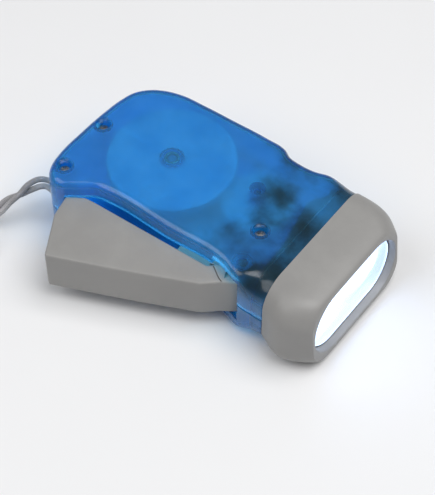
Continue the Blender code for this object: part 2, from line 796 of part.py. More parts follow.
def lever_opening():
    """The opening in the body's side that the lever swings through."""
    tail = math.hypot(lever_length, lever_depth * lever_tail_shares[0][1])
    radius = tail + running_gap
    inner = -slot_depth - pivot_y
    outer = -slot_reach - pivot_y
    rear = arc(radius, math.radians(180) - math.asin(inner / radius),
               math.radians(180) - math.asin(outer / radius), slot_steps)
    outline = rear + [(slot_front, outer), (slot_front, inner)]
    return plate("lever_opening", [outline], lever_bottom - gap, lever_top + gap, place=(pivot_x, pivot_y))


def hinge_notch():
    """A step in the upper shell's rim that bares the lever's hinge end."""
    outer = -slot_reach - pivot_y
    outline = [(-notch_back, -notch_depth), (-notch_step, -notch_depth), (-notch_step / 2, -notch_inner_depth),
               (slot_front, -notch_inner_depth), (slot_front, outer), (-notch_back, outer)]
    return plate("hinge_notch", [outline], lever_top, body_height * notch_top_share, place=(pivot_x, pivot_y))


def strap_opening():
    outline = [(x, strap_slot_back + y) for x, y in
               scaled(strap_slot_shares, strap_slot_length, strap_slot_width)]
    half = strap_diameter / 2 + gap
    return plate("strap_opening", [outline], middle - half, middle + half)


def make_bezel():
    length = bezel_front - bezel_back
    sections = []
    for along, width, height, lean in bezel_section_shares:
        half_width = bezel_half_width * width
        half_height = bezel_half_height * height
        outline = rounded_rectangle(half_width, half_height, half_height * bezel_corner_share)
        sections.append([(bezel_back + length * along, y - bezel_half_width * lean, middle + z)
                         for y, z in outline])
    bezel = new_object("head_bezel", loft("head_bezel", sections), grey_plastic, body_frame, (0, 0, 0))
    opening = rounded_rectangle(lens_half_width - lens_ledge, lens_half_height - lens_ledge,
                                lens_half_height - lens_ledge)
    pocket = rounded_rectangle(lens_half_width + gap, lens_half_height + gap, lens_half_height + gap)
    chamber = rounded_rectangle(chamber_half_width, chamber_half_height, chamber_corner)
    bore = rounded_rectangle(spigot_half_width + gap, spigot_half_height + gap, spigot_corner + gap)
    chamber_front = lens_back - gap - lens_ledge
    cut(bezel,
        plate("bezel_bore", [bore], bezel_back - overrun, spigot_end + gap, place=(0, middle), along="X"),
        plate("bezel_chamber", [chamber], spigot_end - overrun, chamber_front, place=(0, middle), along="X"),
        plate("lens_opening", [opening], chamber_front - overrun, lens_front, place=(-lens_lean, middle),
              along="X"),
        plate("lens_pocket", [pocket], lens_back - gap, bezel_front + overrun, place=(-lens_lean, middle),
              along="X"))


def loft(name, sections):
    """A solid through closed outlines of the same number of points."""
    shape = bmesh.new()
    rings = [[shape.verts.new(spot) for spot in section] for section in sections]
    for back, front in zip(rings, rings[1:]):
        for a, b, c, d in zip(back, back[1:] + back[:1], front[1:] + front[:1], front):
            shape.faces.new((a, b, c, d))
    shape.faces.new(rings[0])
    shape.faces.new(rings[-1])
    bmesh.ops.recalc_face_normals(shape, faces=shape.faces)
    mesh = bpy.data.meshes.new(name)
    shape.to_mesh(mesh)
    shape.free()
    smooth_mesh(mesh)
    return mesh


def make_lens():
    outline = rounded_rectangle(lens_half_width, lens_half_height, lens_half_height)
    lens = plate("lens", [outline], lens_back, lens_front, clear_plastic, place=(-lens_lean, middle),
                 along="X")
    bevel(lens, lens_bevel)


def make_reflector():
    front = lens_back - gap - lens_ledge - gap
    flange = rounded_rectangle(chamber_half_width - gap, chamber_half_height - gap, chamber_corner - gap)
    reflector = plate("reflector", [flange], front - reflector_flange, front, mirror_coat,
                      place=(0, middle), along="X")
    slope = (cup_inner_front_radius - cup_inner_back_radius) / (front - reflector_back)
    cups = [(lamp, lamp_y(lamp)) for lamp in range(lamp_count)]
    for lamp, y in cups:
        join(reflector, cylinder(f"cup_{lamp + 1}", cup_inner_back_radius + cup_wall, reflector_back,
                                 front - reflector_flange / 2, place=(y, middle), along="X",
                                 top_radius=cup_inner_front_radius + cup_wall))
    for lamp, y in cups:
        cut(reflector, cylinder(f"cup_{lamp + 1}_hollow", cup_inner_back_radius - slope * overrun,
                                reflector_back - overrun, front + overrun, place=(y, middle), along="X",
                                top_radius=cup_inner_front_radius + slope * overrun))


def lamp_y(lamp):
    return (lamp - (lamp_count - 1) / 2) * lamp_pitch


def make_lamps():
    base = board_back + board_thickness + gap
    dome = [(lamp_radius * math.cos(angle), lamp_length - lamp_radius + lamp_radius * math.sin(angle))
            for angle in (math.radians(90) * (1 - step / lamp_dome_steps) for step in range(lamp_dome_steps + 1))]
    dome[0] = (0, lamp_length)
    profile = dome + [(lamp_radius, lamp_flange_height), (lamp_flange_radius, lamp_flange_height),
                      (lamp_flange_radius, 0), (0, 0)]
    for lamp in range(lamp_count):
        turned(f"led_{lamp + 1}", profile, lamp_resin, body_frame, (base, lamp_y(lamp), middle), sides=16,
               turn=(0, math.radians(90), 0))


def make_board():
    outline = rounded_rectangle(spigot_half_width - spigot_wall - gap, spigot_half_height - spigot_wall - gap,
                                spigot_corner - spigot_wall - gap)
    plate("led_board", [outline], board_back, board_back + board_thickness, board_green, place=(0, middle),
          along="X")


def make_diodes():
    half = diode_length / 2
    end = half + diode_lead_length
    profile = [(0, end), (diode_lead_radius, end), (diode_lead_radius, half), (diode_radius, half),
               (diode_radius, -half), (diode_lead_radius, -half), (diode_lead_radius, -end), (0, -end)]
    number = 0
    for height in (middle - diode_offset, middle + diode_offset):
        for y in diode_rows:
            number += 1
            turned(f"diode_{number}", profile, black_plastic, body_frame,
                   (board_back - gap - diode_radius, y, height), sides=10, turn=(math.radians(90), 0, 0))


def cradle_block():
    """Two ribs on the floor of the neck that hold the cell."""
    back = cell_front - cell_thickness - gap - cradle_wall
    front = cell_front + gap + cradle_wall
    bottom = middle - spigot_half_height + spigot_wall - sink
    return block("cell_cradle", (back, cell_y - cradle_half_length, bottom),
                 (front, cell_y + cradle_half_length, cradle_top))


def cell_clearance():
    return cylinder("cell_clearance", cell_radius + gap, cell_front - cell_thickness - gap, cell_front + gap,
                    place=(cell_y, middle), sides=32, along="X")


def make_cell():
    cell = cylinder("coin_cell", cell_radius, cell_front - cell_thickness, cell_front, steel,
                    place=(cell_y, middle), sides=32, along="X")
    bevel(cell, cell_bevel, segments=1)


def contact(name, outline):
    """A bent strip whose outline lies in X and Z."""
    strip = plate(name, [outline], -contact_half_width, contact_half_width, brass)
    strip.data.transform(Matrix.Rotation(math.radians(90), 4, "X"))
    strip.location = (0, cell_y, 0)


def make_contacts():
    thick = contact_thickness
    foot = board_back - gap
    inner = cell_front + gap
    contact("cell_contact", [
        (inner, contact_bottom), (inner + thick, contact_bottom), (inner + thick, contact_top),
        (foot - thick, contact_top), (foot - thick, contact_top - contact_foot), (foot, contact_top - contact_foot),
        (foot, contact_top + thick), (inner, contact_top + thick)])
    outer = cell_front - cell_thickness - gap
    crown = middle + cell_radius + gap
    contact("cell_clip", [
        (outer - thick, contact_bottom), (outer, contact_bottom), (outer, crown), (foot - thick, crown),
        (foot - thick, crown - contact_foot), (foot, crown - contact_foot), (foot, crown + thick),
        (outer - thick, crown + thick)])


def make_shell_screws():
    for number, place in enumerate(screw_places.values(), 1):
        bottom = screw_seat + gap
        top = bottom + screw_head_height
        profile = [(0, top), (screw_head_radius, top), (screw_head_radius, bottom),
                   (screw_shank_radius, bottom), (screw_shank_radius, screw_tip), (0, screw_tip)]
        screw = turned(f"shell_screw_{number}", profile, steel, body_frame, (*place, 0), sides=14)
        cut(screw, cylinder(f"driver_{number}", screw_driver_radius, top - screw_driver_depth, top + overrun,
                            place=place, sides=6))


def inset_path(points, distance):
    """An open path moved to its right by a distance, with mitred corners."""
    spots = [Vector(point) for point in points]
    rights = []
    for a, b in zip(spots, spots[1:]):
        along = (b - a).normalized()
        rights.append(Vector((along.y, -along.x)))
    moved = []
    for i, spot in enumerate(spots):
        before = rights[max(i - 1, 0)]
        after = rights[min(i, len(rights) - 1)]
        corner = (before + after) / (1 + before.dot(after))
        moved.append(spot + corner * distance)
    return [(spot.x, spot.y) for spot in moved]


def make_lever():
    """The hollow lever, with the toothed sector that reaches into the body."""
    ear = arc(ear_radius, ear_start, ear_end, ear_steps)
    inner = scaled(lever_inner_shares, lever_length, lever_depth)
    tail = scaled(lever_tail_shares, lever_length, lever_depth)
    outer = scaled(lever_outer_shares, lever_length, lever_depth)
    front = scaled([lever_front_share], lever_length, lever_depth)
    lever = plate("squeeze_lever", [ear + inner + tail + outer + front], lever_bottom, lever_top, grey_plastic,
                  lever_frame)
    bevel(lever, lever_bevel)
    inset = inset_path((tail + outer)[::-1], lever_wall)
    reach = ear_radius + overrun
    clear = spring_radius + spring_wire_radius + gap
    hollow = inset + [(inset[-1][0], reach), (reach, reach), (reach, -clear), (0, -clear)]
    cut(lever, plate("lever_hollow", [hollow], lever_bottom + lever_wall, lever_top - lever_wall,
                     frame=lever_frame))
    hub_radius = ear_radius - gap
    tie = lever_wall / 2
    rib = (scaled(rib_inner_shares, lever_length, lever_depth)
           + scaled(rib_outer_shares, lever_length, lever_depth))
    join(lever,
         cylinder("lever_hub", hub_radius, lever_bottom + tie, rib_top + gap, frame=lever_frame),
         cylinder("lever_hub_neck", hub_neck_radius, rib_bottom + sink, lever_top - tie, frame=lever_frame),
         plate("lever_rib", [rib], rib_bottom + gap, rib_top - gap, frame=lever_frame),
         plate("lever_sector", [sector_outline()], rib_bottom, rib_top, frame=lever_frame),
         spring_peg())
    cut(lever, cylinder("lever_bore", pin_radius + gap, lever_bottom - overrun, lever_top + overrun,
                        frame=lever_frame))


def sector_outline():
    teeth = tooth_outline(sector_teeth, drive_module, wheel_addendum_share, pinion_flank_steps,
                          sector_first_tooth, sector_last_tooth)
    start = math.atan2(teeth[0][1], teeth[0][0])
    end = math.atan2(teeth[-1][1], teeth[-1][0])
    return (teeth + arc(sector_root_radius, end, web_end, web_steps)[1:] + [(0, 0)]
            + arc(sector_inner_radius, web_start, start, web_steps))


def lever_leg_line():
    """Where the spring's lever leg leaves the coil, and which way it runs."""
    leave = spring_lever_angle - math.radians(90)
    start = Vector((math.cos(leave), math.sin(leave))) * spring_radius
    return start, Vector((math.cos(spring_lever_angle), math.sin(spring_lever_angle)))


def spring_peg():
    """The peg on the sector that the spring's lever leg pushes against."""
    start, along = lever_leg_line()
    outside = Vector((-along.y, along.x)) * (spring_wire_radius + gap + spring_peg_radius)
    place = start + along * spring_lever_leg * spring_peg_share + outside
    return cylinder("spring_peg", spring_peg_radius, rib_bottom + sink, rib_top + spring_peg_height,
                    frame=lever_frame, place=place[:], sides=16)


def make_lever_pin():
    cylinder("lever_pin", pin_radius, pin_bottom, pin_top, steel, lever_frame)


def make_return_spring():
    """A torsion spring from the boss of the pivot screw to the lever's peg."""
    boss = Vector(screw_places["pivot"]) - Vector((pivot_x, pivot_y))
    clear = screw_boss_radius + gap + spring_wire_radius
    fixed = math.pi - math.asin((spring_radius - clear) / boss.length) + math.atan2(-boss.x, boss.y)
    turn = spring_lever_angle - math.radians(90) + math.tau * (spring_turns + 1) - fixed
    count = round(turn / math.tau * spring_points)
    coil = []
    for i in range(count + 1):
        angle = fixed + turn * i / count
        height = spring_top + (spring_bottom - spring_top) * i / count
        coil.append((spring_radius * math.cos(angle), spring_radius * math.sin(angle), height))
    fixed_way = Vector((math.sin(fixed), -math.cos(fixed), 0))
    start = Vector(coil[0]) + fixed_way * spring_leg
    _, along = lever_leg_line()
    end = Vector(coil[-1]) + Vector((*along, 0)) * spring_lever_leg
    tube("return_spring", [start] + coil + [end], spring_wire_radius, steel, lever_frame)
    pitch = (spring_top - spring_bottom) / (turn / math.tau)
    print("return spring gap to itself, mm:", round((pitch - 2 * spring_wire_radius) * 1000, 3))


def make_drive_pinion():
    phase = pinion_phase()
    teeth = tooth_outline(pinion_teeth, drive_module, pinion_addendum_share, pinion_flank_steps, phase=phase)
    pinion = plate("drive_pinion", [teeth], pinion_bottom, pinion_top, zinc, drive_frame)
    join(pinion,
         cylinder("pinion_sleeve", pinion_sleeve_radius, idler_wheel_bottom, pinion_bottom + sink,
                  frame=drive_frame),
         cylinder("pinion_shoulder", pinion_shoulder_radius, pinion_top - sink, pinion_shoulder_top,
                  frame=drive_frame),
         cylinder("pinion_boss", pinion_boss_radius, pinion_top, pinion_boss_top, frame=drive_frame))
    cut(pinion, shaft_bore("pinion_bore", idler_wheel_bottom, pinion_boss_top, drive_frame))


def shaft_bore(name, bottom, top, frame):
    """The running hole for a fixed shaft through a gear."""
    return cylinder(name, shaft_radius + gap, bottom - overrun, top + overrun, frame=frame, sides=12)


def pinion_phase():
    return meshing_phase(pinion_teeth, direction_between((pivot_x, pivot_y), (drive_x, drive_y)),
                         sector_teeth, 0)


def make_clutch_pawl():
    """A ring with two springy arms that catch the ratchet in one direction."""
    outline = []
    back_share = pawl_width / (pawl_tip_radius - pawl_ring_radius)
    for start in (0, math.pi):
        for step in range(pawl_steps + 1):
            share = step / pawl_steps
            radius = pawl_ring_radius + (pawl_tip_radius - pawl_ring_radius) * share
            outline.append((radius * math.cos(start + pawl_sweep * share),
                            radius * math.sin(start + pawl_sweep * share)))
        for step in range(pawl_steps + 1):
            share = 1 - (1 - back_share) * step / pawl_steps
            radius = pawl_ring_radius + (pawl_tip_radius - pawl_ring_radius) * share - pawl_width
            outline.append((radius * math.cos(start + pawl_sweep * share),
                            radius * math.sin(start + pawl_sweep * share)))
        outline += arc(pawl_ring_radius, start + pawl_sweep * back_share, start + math.pi, pawl_steps)[1:-1]
    hole = circle(pinion_boss_radius + gap)
    plate("clutch_pawl", [outline, hole], pawl_bottom, pawl_top, steel, drive_frame)


def make_drive_wheel():
    teeth = tooth_outline(drive_wheel_teeth, wheel_module, wheel_addendum_share, wheel_flank_steps)
    wheel = plate("drive_wheel", [teeth], drive_wheel_bottom, drive_wheel_top, white_plastic,
                  drive_frame)
    saw = []
    for tooth in range(ratchet_teeth):
        saw.append((ratchet_radius - ratchet_tooth, math.tau * tooth / ratchet_teeth))
        saw.append((ratchet_radius, math.tau * (tooth + 1) / ratchet_teeth))
    recess = [(radius * math.cos(angle), radius * math.sin(angle)) for radius, angle in saw]
    cut(wheel, plate("ratchet_recess", [recess], drive_wheel_bottom - overrun,
                     drive_wheel_bottom + ratchet_depth, frame=drive_frame),
        shaft_bore("drive_wheel_bore", drive_wheel_bottom, drive_wheel_top, drive_frame))


def make_drive_shaft():
    cylinder("drive_shaft", shaft_radius, shaft_bottom, drive_shaft_top, steel, drive_frame, sides=12)


def idler_pinion_phase():
    return meshing_phase(idler_pinion_teeth, direction_between((drive_x, drive_y), (idler_x, idler_y)),
                         drive_wheel_teeth, 0)


def make_idler_gear():
    wheel_teeth = tooth_outline(idler_wheel_teeth, idler_wheel_module, wheel_addendum_share,
                                wheel_flank_steps)
    pinion_teeth_outline = tooth_outline(idler_pinion_teeth, wheel_module, pinion_addendum_share,
                                         pinion_flank_steps, phase=idler_pinion_phase())
    gear = plate("idler_gear", [wheel_teeth], idler_wheel_bottom, idler_wheel_top, white_plastic,
                 idler_frame)
    join(gear,
         cylinder("idler_hub", idler_hub_radius, idler_wheel_bottom + sink, idler_pinion_bottom + sink,
                  frame=idler_frame),
         plate("idler_pinion", [pinion_teeth_outline], idler_pinion_bottom, idler_pinion_top,
               frame=idler_frame))
    cut(gear, shaft_bore("idler_bore", idler_wheel_bottom, idler_pinion_top, idler_frame))


def make_idler_shaft():
    cylinder("idler_shaft", shaft_radius, shaft_bottom, idler_shaft_top, steel, idler_frame, sides=12)


def make_flywheel():
    """A flat-topped wheel with its rim hanging down, and a cup in the middle for the roof's boss."""
    bore = flywheel_shaft_radius + gap
    cup = bush_boss_radius + flywheel_cup_clear
    disc_bottom = flywheel_top - flywheel_wall
    profile = [(flywheel_radius - flywheel_chamfer, flywheel_top),
               (flywheel_radius, flywheel_top - flywheel_chamfer),
               (flywheel_radius, flywheel_bottom), (flywheel_radius - flywheel_rim, flywheel_bottom),
               (flywheel_radius - flywheel_rim, disc_bottom), (cup + flywheel_wall, disc_bottom),
               (cup + flywheel_wall, flywheel_bottom), (flywheel_hub_radius, flywheel_bottom),
               (flywheel_hub_radius, flywheel_hub_bottom), (bore, flywheel_hub_bottom),
               (bore, flywheel_web_top), (cup, flywheel_web_top), (cup, flywheel_top)]
    turned("flywheel", profile, zinc, flywheel_frame, sides=flywheel_sides)


def make_flywheel_shaft():
    cylinder("flywheel_shaft", flywheel_shaft_radius, shaft_bottom, flywheel_shaft_top, steel,
             flywheel_frame)


def make_flywheel_pinion():
    phase = meshing_phase(flywheel_pinion_teeth,
                          direction_between((idler_x, idler_y), (flywheel_x, flywheel_y)),
                          idler_wheel_teeth, 0)
    teeth = tooth_outline(flywheel_pinion_teeth, idler_wheel_module, pinion_addendum_share,
                          pinion_flank_steps, phase=phase)
    bore = circle(flywheel_shaft_radius + gap, sides=12)
    plate("flywheel_pinion", [teeth, bore], flywheel_pinion_bottom, flywheel_pinion_top, brass,
          flywheel_frame)


def make_bushes():
    floor_top = flywheel_pinion_bottom - running_gap - gap
    roof_bottom = flywheel_web_top + running_gap + gap
    bore = flywheel_shaft_radius + gap
    for name, bottom, top in (("floor_bush", floor_top - bush_height, floor_top),
                              ("roof_bush", roof_bottom, roof_bottom + roof_bush_height)):
        plate(name, [circle(bush_radius, sides=16), circle(bore, sides=12)], bottom, top, brass, flywheel_frame)


def make_magnet():
    bore = circle(flywheel_shaft_radius + gap, sides=12)
    magnet = plate("magnet_rotor", [circle(magnet_radius, sides=28), bore], magnet_bottom, magnet_top,
                   ferrite, flywheel_frame)
    bevel(magnet, magnet_bevel, segments=1)


def core_screw_places():
    reach = magnet_radius + core_gap + core_leg / 2
    y = flywheel_y + core_yoke_top - core_screw_inset
    return {"core_rear": (flywheel_x - reach, y), "core_front": (flywheel_x + reach, y)}


def make_stator_core():
    """A U of stacked plates whose two poles wrap round the magnet."""
    inner = magnet_radius + core_gap
    outer = inner + core_leg
    half = math.pi
    left_pole = arc(inner, half - pole_angle, half + pole_angle, pole_steps)
    left_back = arc(outer, half + pole_angle, half, pole_steps)
    right_back = arc(outer, 0, -pole_angle, pole_steps)
    right_pole = arc(inner, -pole_angle, pole_angle, pole_steps)
    shoulder = inner * math.sin(pole_angle) + core_leg / 2
    outline = (left_pole + left_back + [(-outer, core_yoke_top), (outer, core_yoke_top)] + right_back
               + right_pole + [(inner, shoulder), (inner, core_yoke_bottom), (-inner, core_yoke_bottom),
                               (-inner, shoulder)])
    holes = [circle(core_screw_radius + gap, x - flywheel_x, y - flywheel_y, sides=12)
             for x, y in core_screw_places().values()]
    plate("stator_core", [outline] + holes, core_bottom, core_top, steel, body_frame,
          (flywheel_x, flywheel_y))


def make_core_screws():
    bottom = core_top + gap
    top = bottom + core_screw_head_height
    profile = [(0, top), (core_screw_head_radius, top), (core_screw_head_radius, bottom),
               (core_screw_radius, bottom), (core_screw_radius, core_screw_tip), (0, core_screw_tip)]
    for number, place in enumerate(core_screw_places().values(), 1):
        turned(f"core_screw_{number}", profile, steel, body_frame, (*place, 0), sides=10)


def bobbin_body():
    """The bobbin's span along X, and the half sizes and the middle of its tube across the yoke."""
    reach = magnet_radius + core_gap - gap
    half_y = (core_yoke_top - core_yoke_bottom) / 2 + gap + bobbin_wall
    half_z = (core_top - core_bottom) / 2 + gap + bobbin_wall
    mid_y = flywheel_y + (core_yoke_top + core_yoke_bottom) / 2
    mid_z = (core_top + core_bottom) / 2
    return flywheel_x - reach, flywheel_x + reach, half_y, half_z, mid_y, mid_z


def make_bobbin():
    start, end, half_y, half_z, mid_y, mid_z = bobbin_body()
    tube_outline = rounded_rectangle(half_y, half_z, bobbin_corner, steps=2)
    flange_outline = rounded_rectangle(half_y + bobbin_rim, half_z + bobbin_rim, bobbin_corner, steps=2)
    place = (mid_y, mid_z)
    bobbin = plate("coil_bobbin", [tube_outline], start + sink, end - sink, white_plastic, place=place,
                   along="X")
    join(bobbin,
         plate("rear_flange", [flange_outline], start, start + bobbin_flange, place=place, along="X"),
         plate("front_flange", [flange_outline], end - bobbin_flange, end, place=place, along="X"))
    hole_y = half_y - bobbin_wall
    hole_z = half_z - bobbin_wall
    cut(bobbin, block("yoke_hole", (start - overrun, mid_y - hole_y, mid_z - hole_z),
                      (end + overrun, mid_y + hole_y, mid_z + hole_z)))


def winding_path():
    """One wire wound round the bobbin, whose ends both face along Z at the bobbin's back."""
    start, end, half_y, half_z, mid_y, mid_z = bobbin_body()
    off = gap + winding_wire_radius
    ring = rounded_rectangle(half_y + off, half_z + off, bobbin_corner + off, steps=5)
    first = start + bobbin_flange + off
    length = end - start - 2 * (bobbin_flange + off)
    count = len(ring)
    path = [Vector((first, mid_y + half_y + off, mid_z))]
    for loop in range(winding_loops):
        for i, (y, z) in enumerate(ring):
            share = (loop + (i + 0.5) / count) / winding_loops
            path.append(Vector((first + length * share, mid_y + y, mid_z + z)))
    path.append(Vector((first + length, mid_y + half_y + off, mid_z)))
    pitch = length / winding_loops
    print("coil winding gap to itself, mm:", round((pitch - 2 * winding_wire_radius) * 1000, 3))
    return path


def make_winding():
    path = winding_path()
    tube("coil_winding", path, winding_wire_radius, copper)
    return path[0], path[-1]


def make_leads(first, last):
    """Two leads from the ends of the winding along the body's back to the board."""
    step = lead_spacing / 2
    stop = board_back - gap
    for name, spot, side in (("coil_lead_1", first, -1), ("coil_lead_2", last, 1)):
        height = spot.z + side * step
        off = winding_wire_radius + lead_radius + gap
        start = max(first.x, spot.x - step)
        route = [(start, spot.y + off, height), (start + step, lead_y, height),
                 (start + 2 * step, lead_y, height), (stop, lead_y, height)]
        tube(name, even_path(route, lead_step), lead_radius, copper)


def coil_spot(turns):
    """A point of the strap's coil: it spirals in on the table, then climbs and spirals out."""
    half = strap_coil_turns / 2
    angle = strap_coil_facing + math.radians(90) + math.tau * turns
    radius = strap_coil_radius - strap_coil_pitch * (half - abs(turns - half))
    climb = min(1, max(0, (turns - half) * 2 + 0.5))
    height = table + strap_lift + strap_diameter / 2 + strap_coil_pitch * climb * climb * (3 - 2 * climb)
    return Vector((strap_coil_x + radius * math.cos(angle), strap_coil_y + radius * math.sin(angle), height))


def coil_ends():
    """Points just before and after the coil, one diameter off its first and last points."""
    facing = Vector((math.cos(strap_coil_facing), math.sin(strap_coil_facing), 0))
    return coil_spot(0) + facing * strap_diameter, coil_spot(strap_coil_turns) + facing * strap_diameter


def make_strap_coil():
    count = round(strap_coil_turns * strap_coil_points)
    before, after = coil_ends()
    spots = [coil_spot(strap_coil_turns * i / count) for i in range(count + 1)]
    tube("strap_coil", [before] + spots + [after], strap_diameter / 2, strap_cord)
    least = min((a - b).length for i, a in enumerate(spots) for b in spots[i + strap_coil_points // 2:])
    print("strap coil gap to itself, mm:", round((least - strap_diameter) * 1000, 3))


def strap_spots(points):
    return [Vector((x, y, body_height * share)) for x, y, share in points]


def strand_pair():
    """The two strands on either side of the strap's route, twisted about each other."""
    spots = strap_spots(strap_route)
    headings = [(after - before).normalized()
                for before, after in zip([spots[0]] + spots[:-1], spots[1:] + [spots[-1]])]
    first, second = [], []
    for spot, heading, twist in zip(spots, headings, strap_twists):
        right = heading.cross(Vector((0, 0, 1))).normalized()
        up = right.cross(heading)
        offset = right * math.cos(math.radians(twist)) + up * math.sin(math.radians(twist))
        first.append(spot + offset * strap_pair_spacing / 2)
        second.append(spot - offset * strap_pair_spacing / 2)
    return first, second


def make_strap_strands():
    """The cord from one end of the coil, in through the wall, round the post and back."""
    back, front = strand_pair()
    facing = Vector((math.cos(strap_coil_facing), math.sin(strap_coil_facing), 0))
    far_end, near_end = coil_ends()
    post = screw_places["heel"]
    bend = screw_post_radius + gap + strap_diameter / 2
    turn = arc(bend, math.radians(90), math.radians(-90), strap_bend_steps, *post)
    route = ([near_end + facing * gap] + strap_spots(strand_near_route)[::-1] + back[::-1]
             + strap_spots(strap_inner_back) + [(x, y, middle) for x, y in turn]
             + strap_spots(strap_inner_front) + front + strap_spots(strand_far_route)
             + [far_end + facing * gap])
    path = even_path(route, strap_step)
    tube("strap_strands", path, strap_diameter / 2, strap_cord, detail=2)
    length = sum((b - a).length for a, b in zip(path, path[1:]))
    print("strap strands length, mm:", round(length * 1000, 1))


make_shells()
make_bezel()
make_lens()
make_reflector()
make_lamps()
make_board()
make_diodes()
make_cell()
make_contacts()
make_shell_screws()
make_lever()
make_lever_pin()
make_return_spring()
make_drive_pinion()
make_clutch_pawl()
make_drive_wheel()
make_drive_shaft()
make_idler_gear()
make_idler_shaft()
make_flywheel()
make_flywheel_shaft()
make_flywheel_pinion()
make_bushes()
make_magnet()
make_stator_core()
make_core_screws()
make_bobbin()
make_leads(*make_winding())
make_strap_coil()
make_strap_strands()
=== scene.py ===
import math
import bpy
from mathutils import Matrix, Vector


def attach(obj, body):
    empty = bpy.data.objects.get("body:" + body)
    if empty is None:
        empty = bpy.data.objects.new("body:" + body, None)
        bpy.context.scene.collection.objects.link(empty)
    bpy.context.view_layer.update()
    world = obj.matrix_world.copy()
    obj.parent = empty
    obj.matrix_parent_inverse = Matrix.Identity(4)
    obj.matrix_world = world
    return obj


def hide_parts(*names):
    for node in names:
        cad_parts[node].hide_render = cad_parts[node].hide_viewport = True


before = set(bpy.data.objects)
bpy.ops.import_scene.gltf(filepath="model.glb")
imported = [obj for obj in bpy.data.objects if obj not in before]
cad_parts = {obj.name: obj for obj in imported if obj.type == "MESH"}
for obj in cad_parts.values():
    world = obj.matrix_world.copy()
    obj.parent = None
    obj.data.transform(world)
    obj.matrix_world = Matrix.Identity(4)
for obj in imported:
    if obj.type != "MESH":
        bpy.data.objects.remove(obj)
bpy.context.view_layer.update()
print("frame loaded")

# Shapes are drawn in millimetres from the rear wall, the body's middle line and its underside.
# settle() turns a finished piece into metres and moves its mesh under the frame's origin.
layout = {"x": -53.4, "y": 11.9929, "z": 0.6, "scale": 0.001, "gap": 0.3}


# hand tools
def pick(obj):
    bpy.ops.object.select_all(action="DESELECT")
    obj.select_set(True)
    bpy.context.view_layer.objects.active = obj


def openMesh(obj):
    pick(obj)
    bpy.ops.object.mode_set(mode="EDIT")
    bpy.ops.mesh.select_all(action="SELECT")


def closeMesh():
    bpy.ops.object.mode_set(mode="OBJECT")


def placePoints(obj, points):
    for vertex, point in zip(obj.data.vertices, points):
        vertex.co = point


def cleanMesh(obj, distance=0.002):
    openMesh(obj)
    bpy.ops.mesh.remove_doubles(threshold=distance)
    bpy.ops.mesh.delete_loose(use_verts=True, use_edges=True, use_faces=False)
    bpy.ops.mesh.select_all(action="SELECT")
    bpy.ops.mesh.normals_make_consistent(inside=False)
    closeMesh()


def closeHoles(obj):
    # each open rim gets a face, and every face looks outwards
    openMesh(obj)
    bpy.ops.mesh.select_all(action="DESELECT")
    bpy.ops.mesh.select_mode(type="EDGE")
    bpy.ops.mesh.select_non_manifold()
    bpy.ops.mesh.edge_face_add()
    bpy.ops.mesh.select_all(action="SELECT")
    bpy.ops.mesh.normals_make_consistent(inside=False)
    closeMesh()


def applyModifiers(obj):
    pick(obj)
    for modifier in list(obj.modifiers):
        bpy.ops.object.modifier_apply(modifier=modifier.name)


def roundEdges(obj, width, segments=3, angle=32):
    change = obj.modifiers.new("rounded edges", "BEVEL")
    change.width = width
    change.segments = segments
    change.limit_method = "ANGLE"
    change.angle_limit = math.radians(angle)
    applyModifiers(obj)


def combine(obj, operation, *tools):
    for tool in tools:
        change = obj.modifiers.new("combine", "BOOLEAN")
        change.operation = operation
        change.solver = "MANIFOLD"
        change.object = tool
        applyModifiers(obj)
        bpy.data.objects.remove(tool)


def turnAlongX(obj):
    # what was drawn in X and Y, with its height in Z, then lies in Y and Z with its height in X
    obj.data.transform(Matrix(((0, 0, 1, 0), (1, 0, 0, 0), (0, 1, 0, 0), (0, 0, 0, 1))))


def outlinePiece(name, outline, bottom, top, place=(0, 0), alongX=False):
    bpy.ops.object.select_all(action="DESELECT")
    bpy.ops.mesh.primitive_circle_add(vertices=len(outline), radius=1, fill_type="NGON")
    obj = bpy.context.object
    obj.name = name
    placePoints(obj, [(x + place[0], y + place[1], bottom) for x, y in outline])
    openMesh(obj)
    bpy.ops.mesh.extrude_region_move(TRANSFORM_OT_translate={"value": (0, 0, top - bottom)})
    bpy.ops.mesh.select_all(action="SELECT")
    bpy.ops.mesh.normals_make_consistent(inside=False)
    closeMesh()
    if alongX:
        turnAlongX(obj)
    return obj


def spunPiece(name, profile, place=(0, 0), steps=48, alongX=False):
    # the profile holds radius and height round one half of the section
    bpy.ops.object.select_all(action="DESELECT")
    bpy.ops.mesh.primitive_circle_add(vertices=len(profile), radius=1, fill_type="NOTHING")
    obj = bpy.context.object
    obj.name = name
    placePoints(obj, [(radius, 0, height) for radius, height in profile])
    openMesh(obj)
    bpy.ops.mesh.spin(steps=steps, angle=math.tau, center=(0, 0, 0), axis=(0, 0, 1))
    closeMesh()
    cleanMesh(obj)
    obj.data.transform(Matrix.Translation((place[0], place[1], 0)))
    if alongX:
        turnAlongX(obj)
    return obj


def gridPiece(name, rows, wrap=False, loop=False):
    # rows of points on a grid; wrap joins each row's ends, loop joins the last row to the first
    if wrap:
        rows = [list(row) + [row[0]] for row in rows]
    if loop:
        rows = rows + [rows[0]]
    bpy.ops.object.select_all(action="DESELECT")
    bpy.ops.mesh.primitive_grid_add(x_subdivisions=len(rows[0]) - 1, y_subdivisions=len(rows) - 1, size=1)
    obj = bpy.context.object
    obj.name = name
    placePoints(obj, [point for row in rows for point in row])
    cleanMesh(obj)
    return obj


def at(part):
    return (part["x"], part["y"])


def arc(radius, start, end, steps, x=0, y=0):
    angles = [start + (end - start) * i / steps for i in range(steps + 1)]
    return [(x + radius * math.cos(angle), y + radius * math.sin(angle)) for angle in angles]


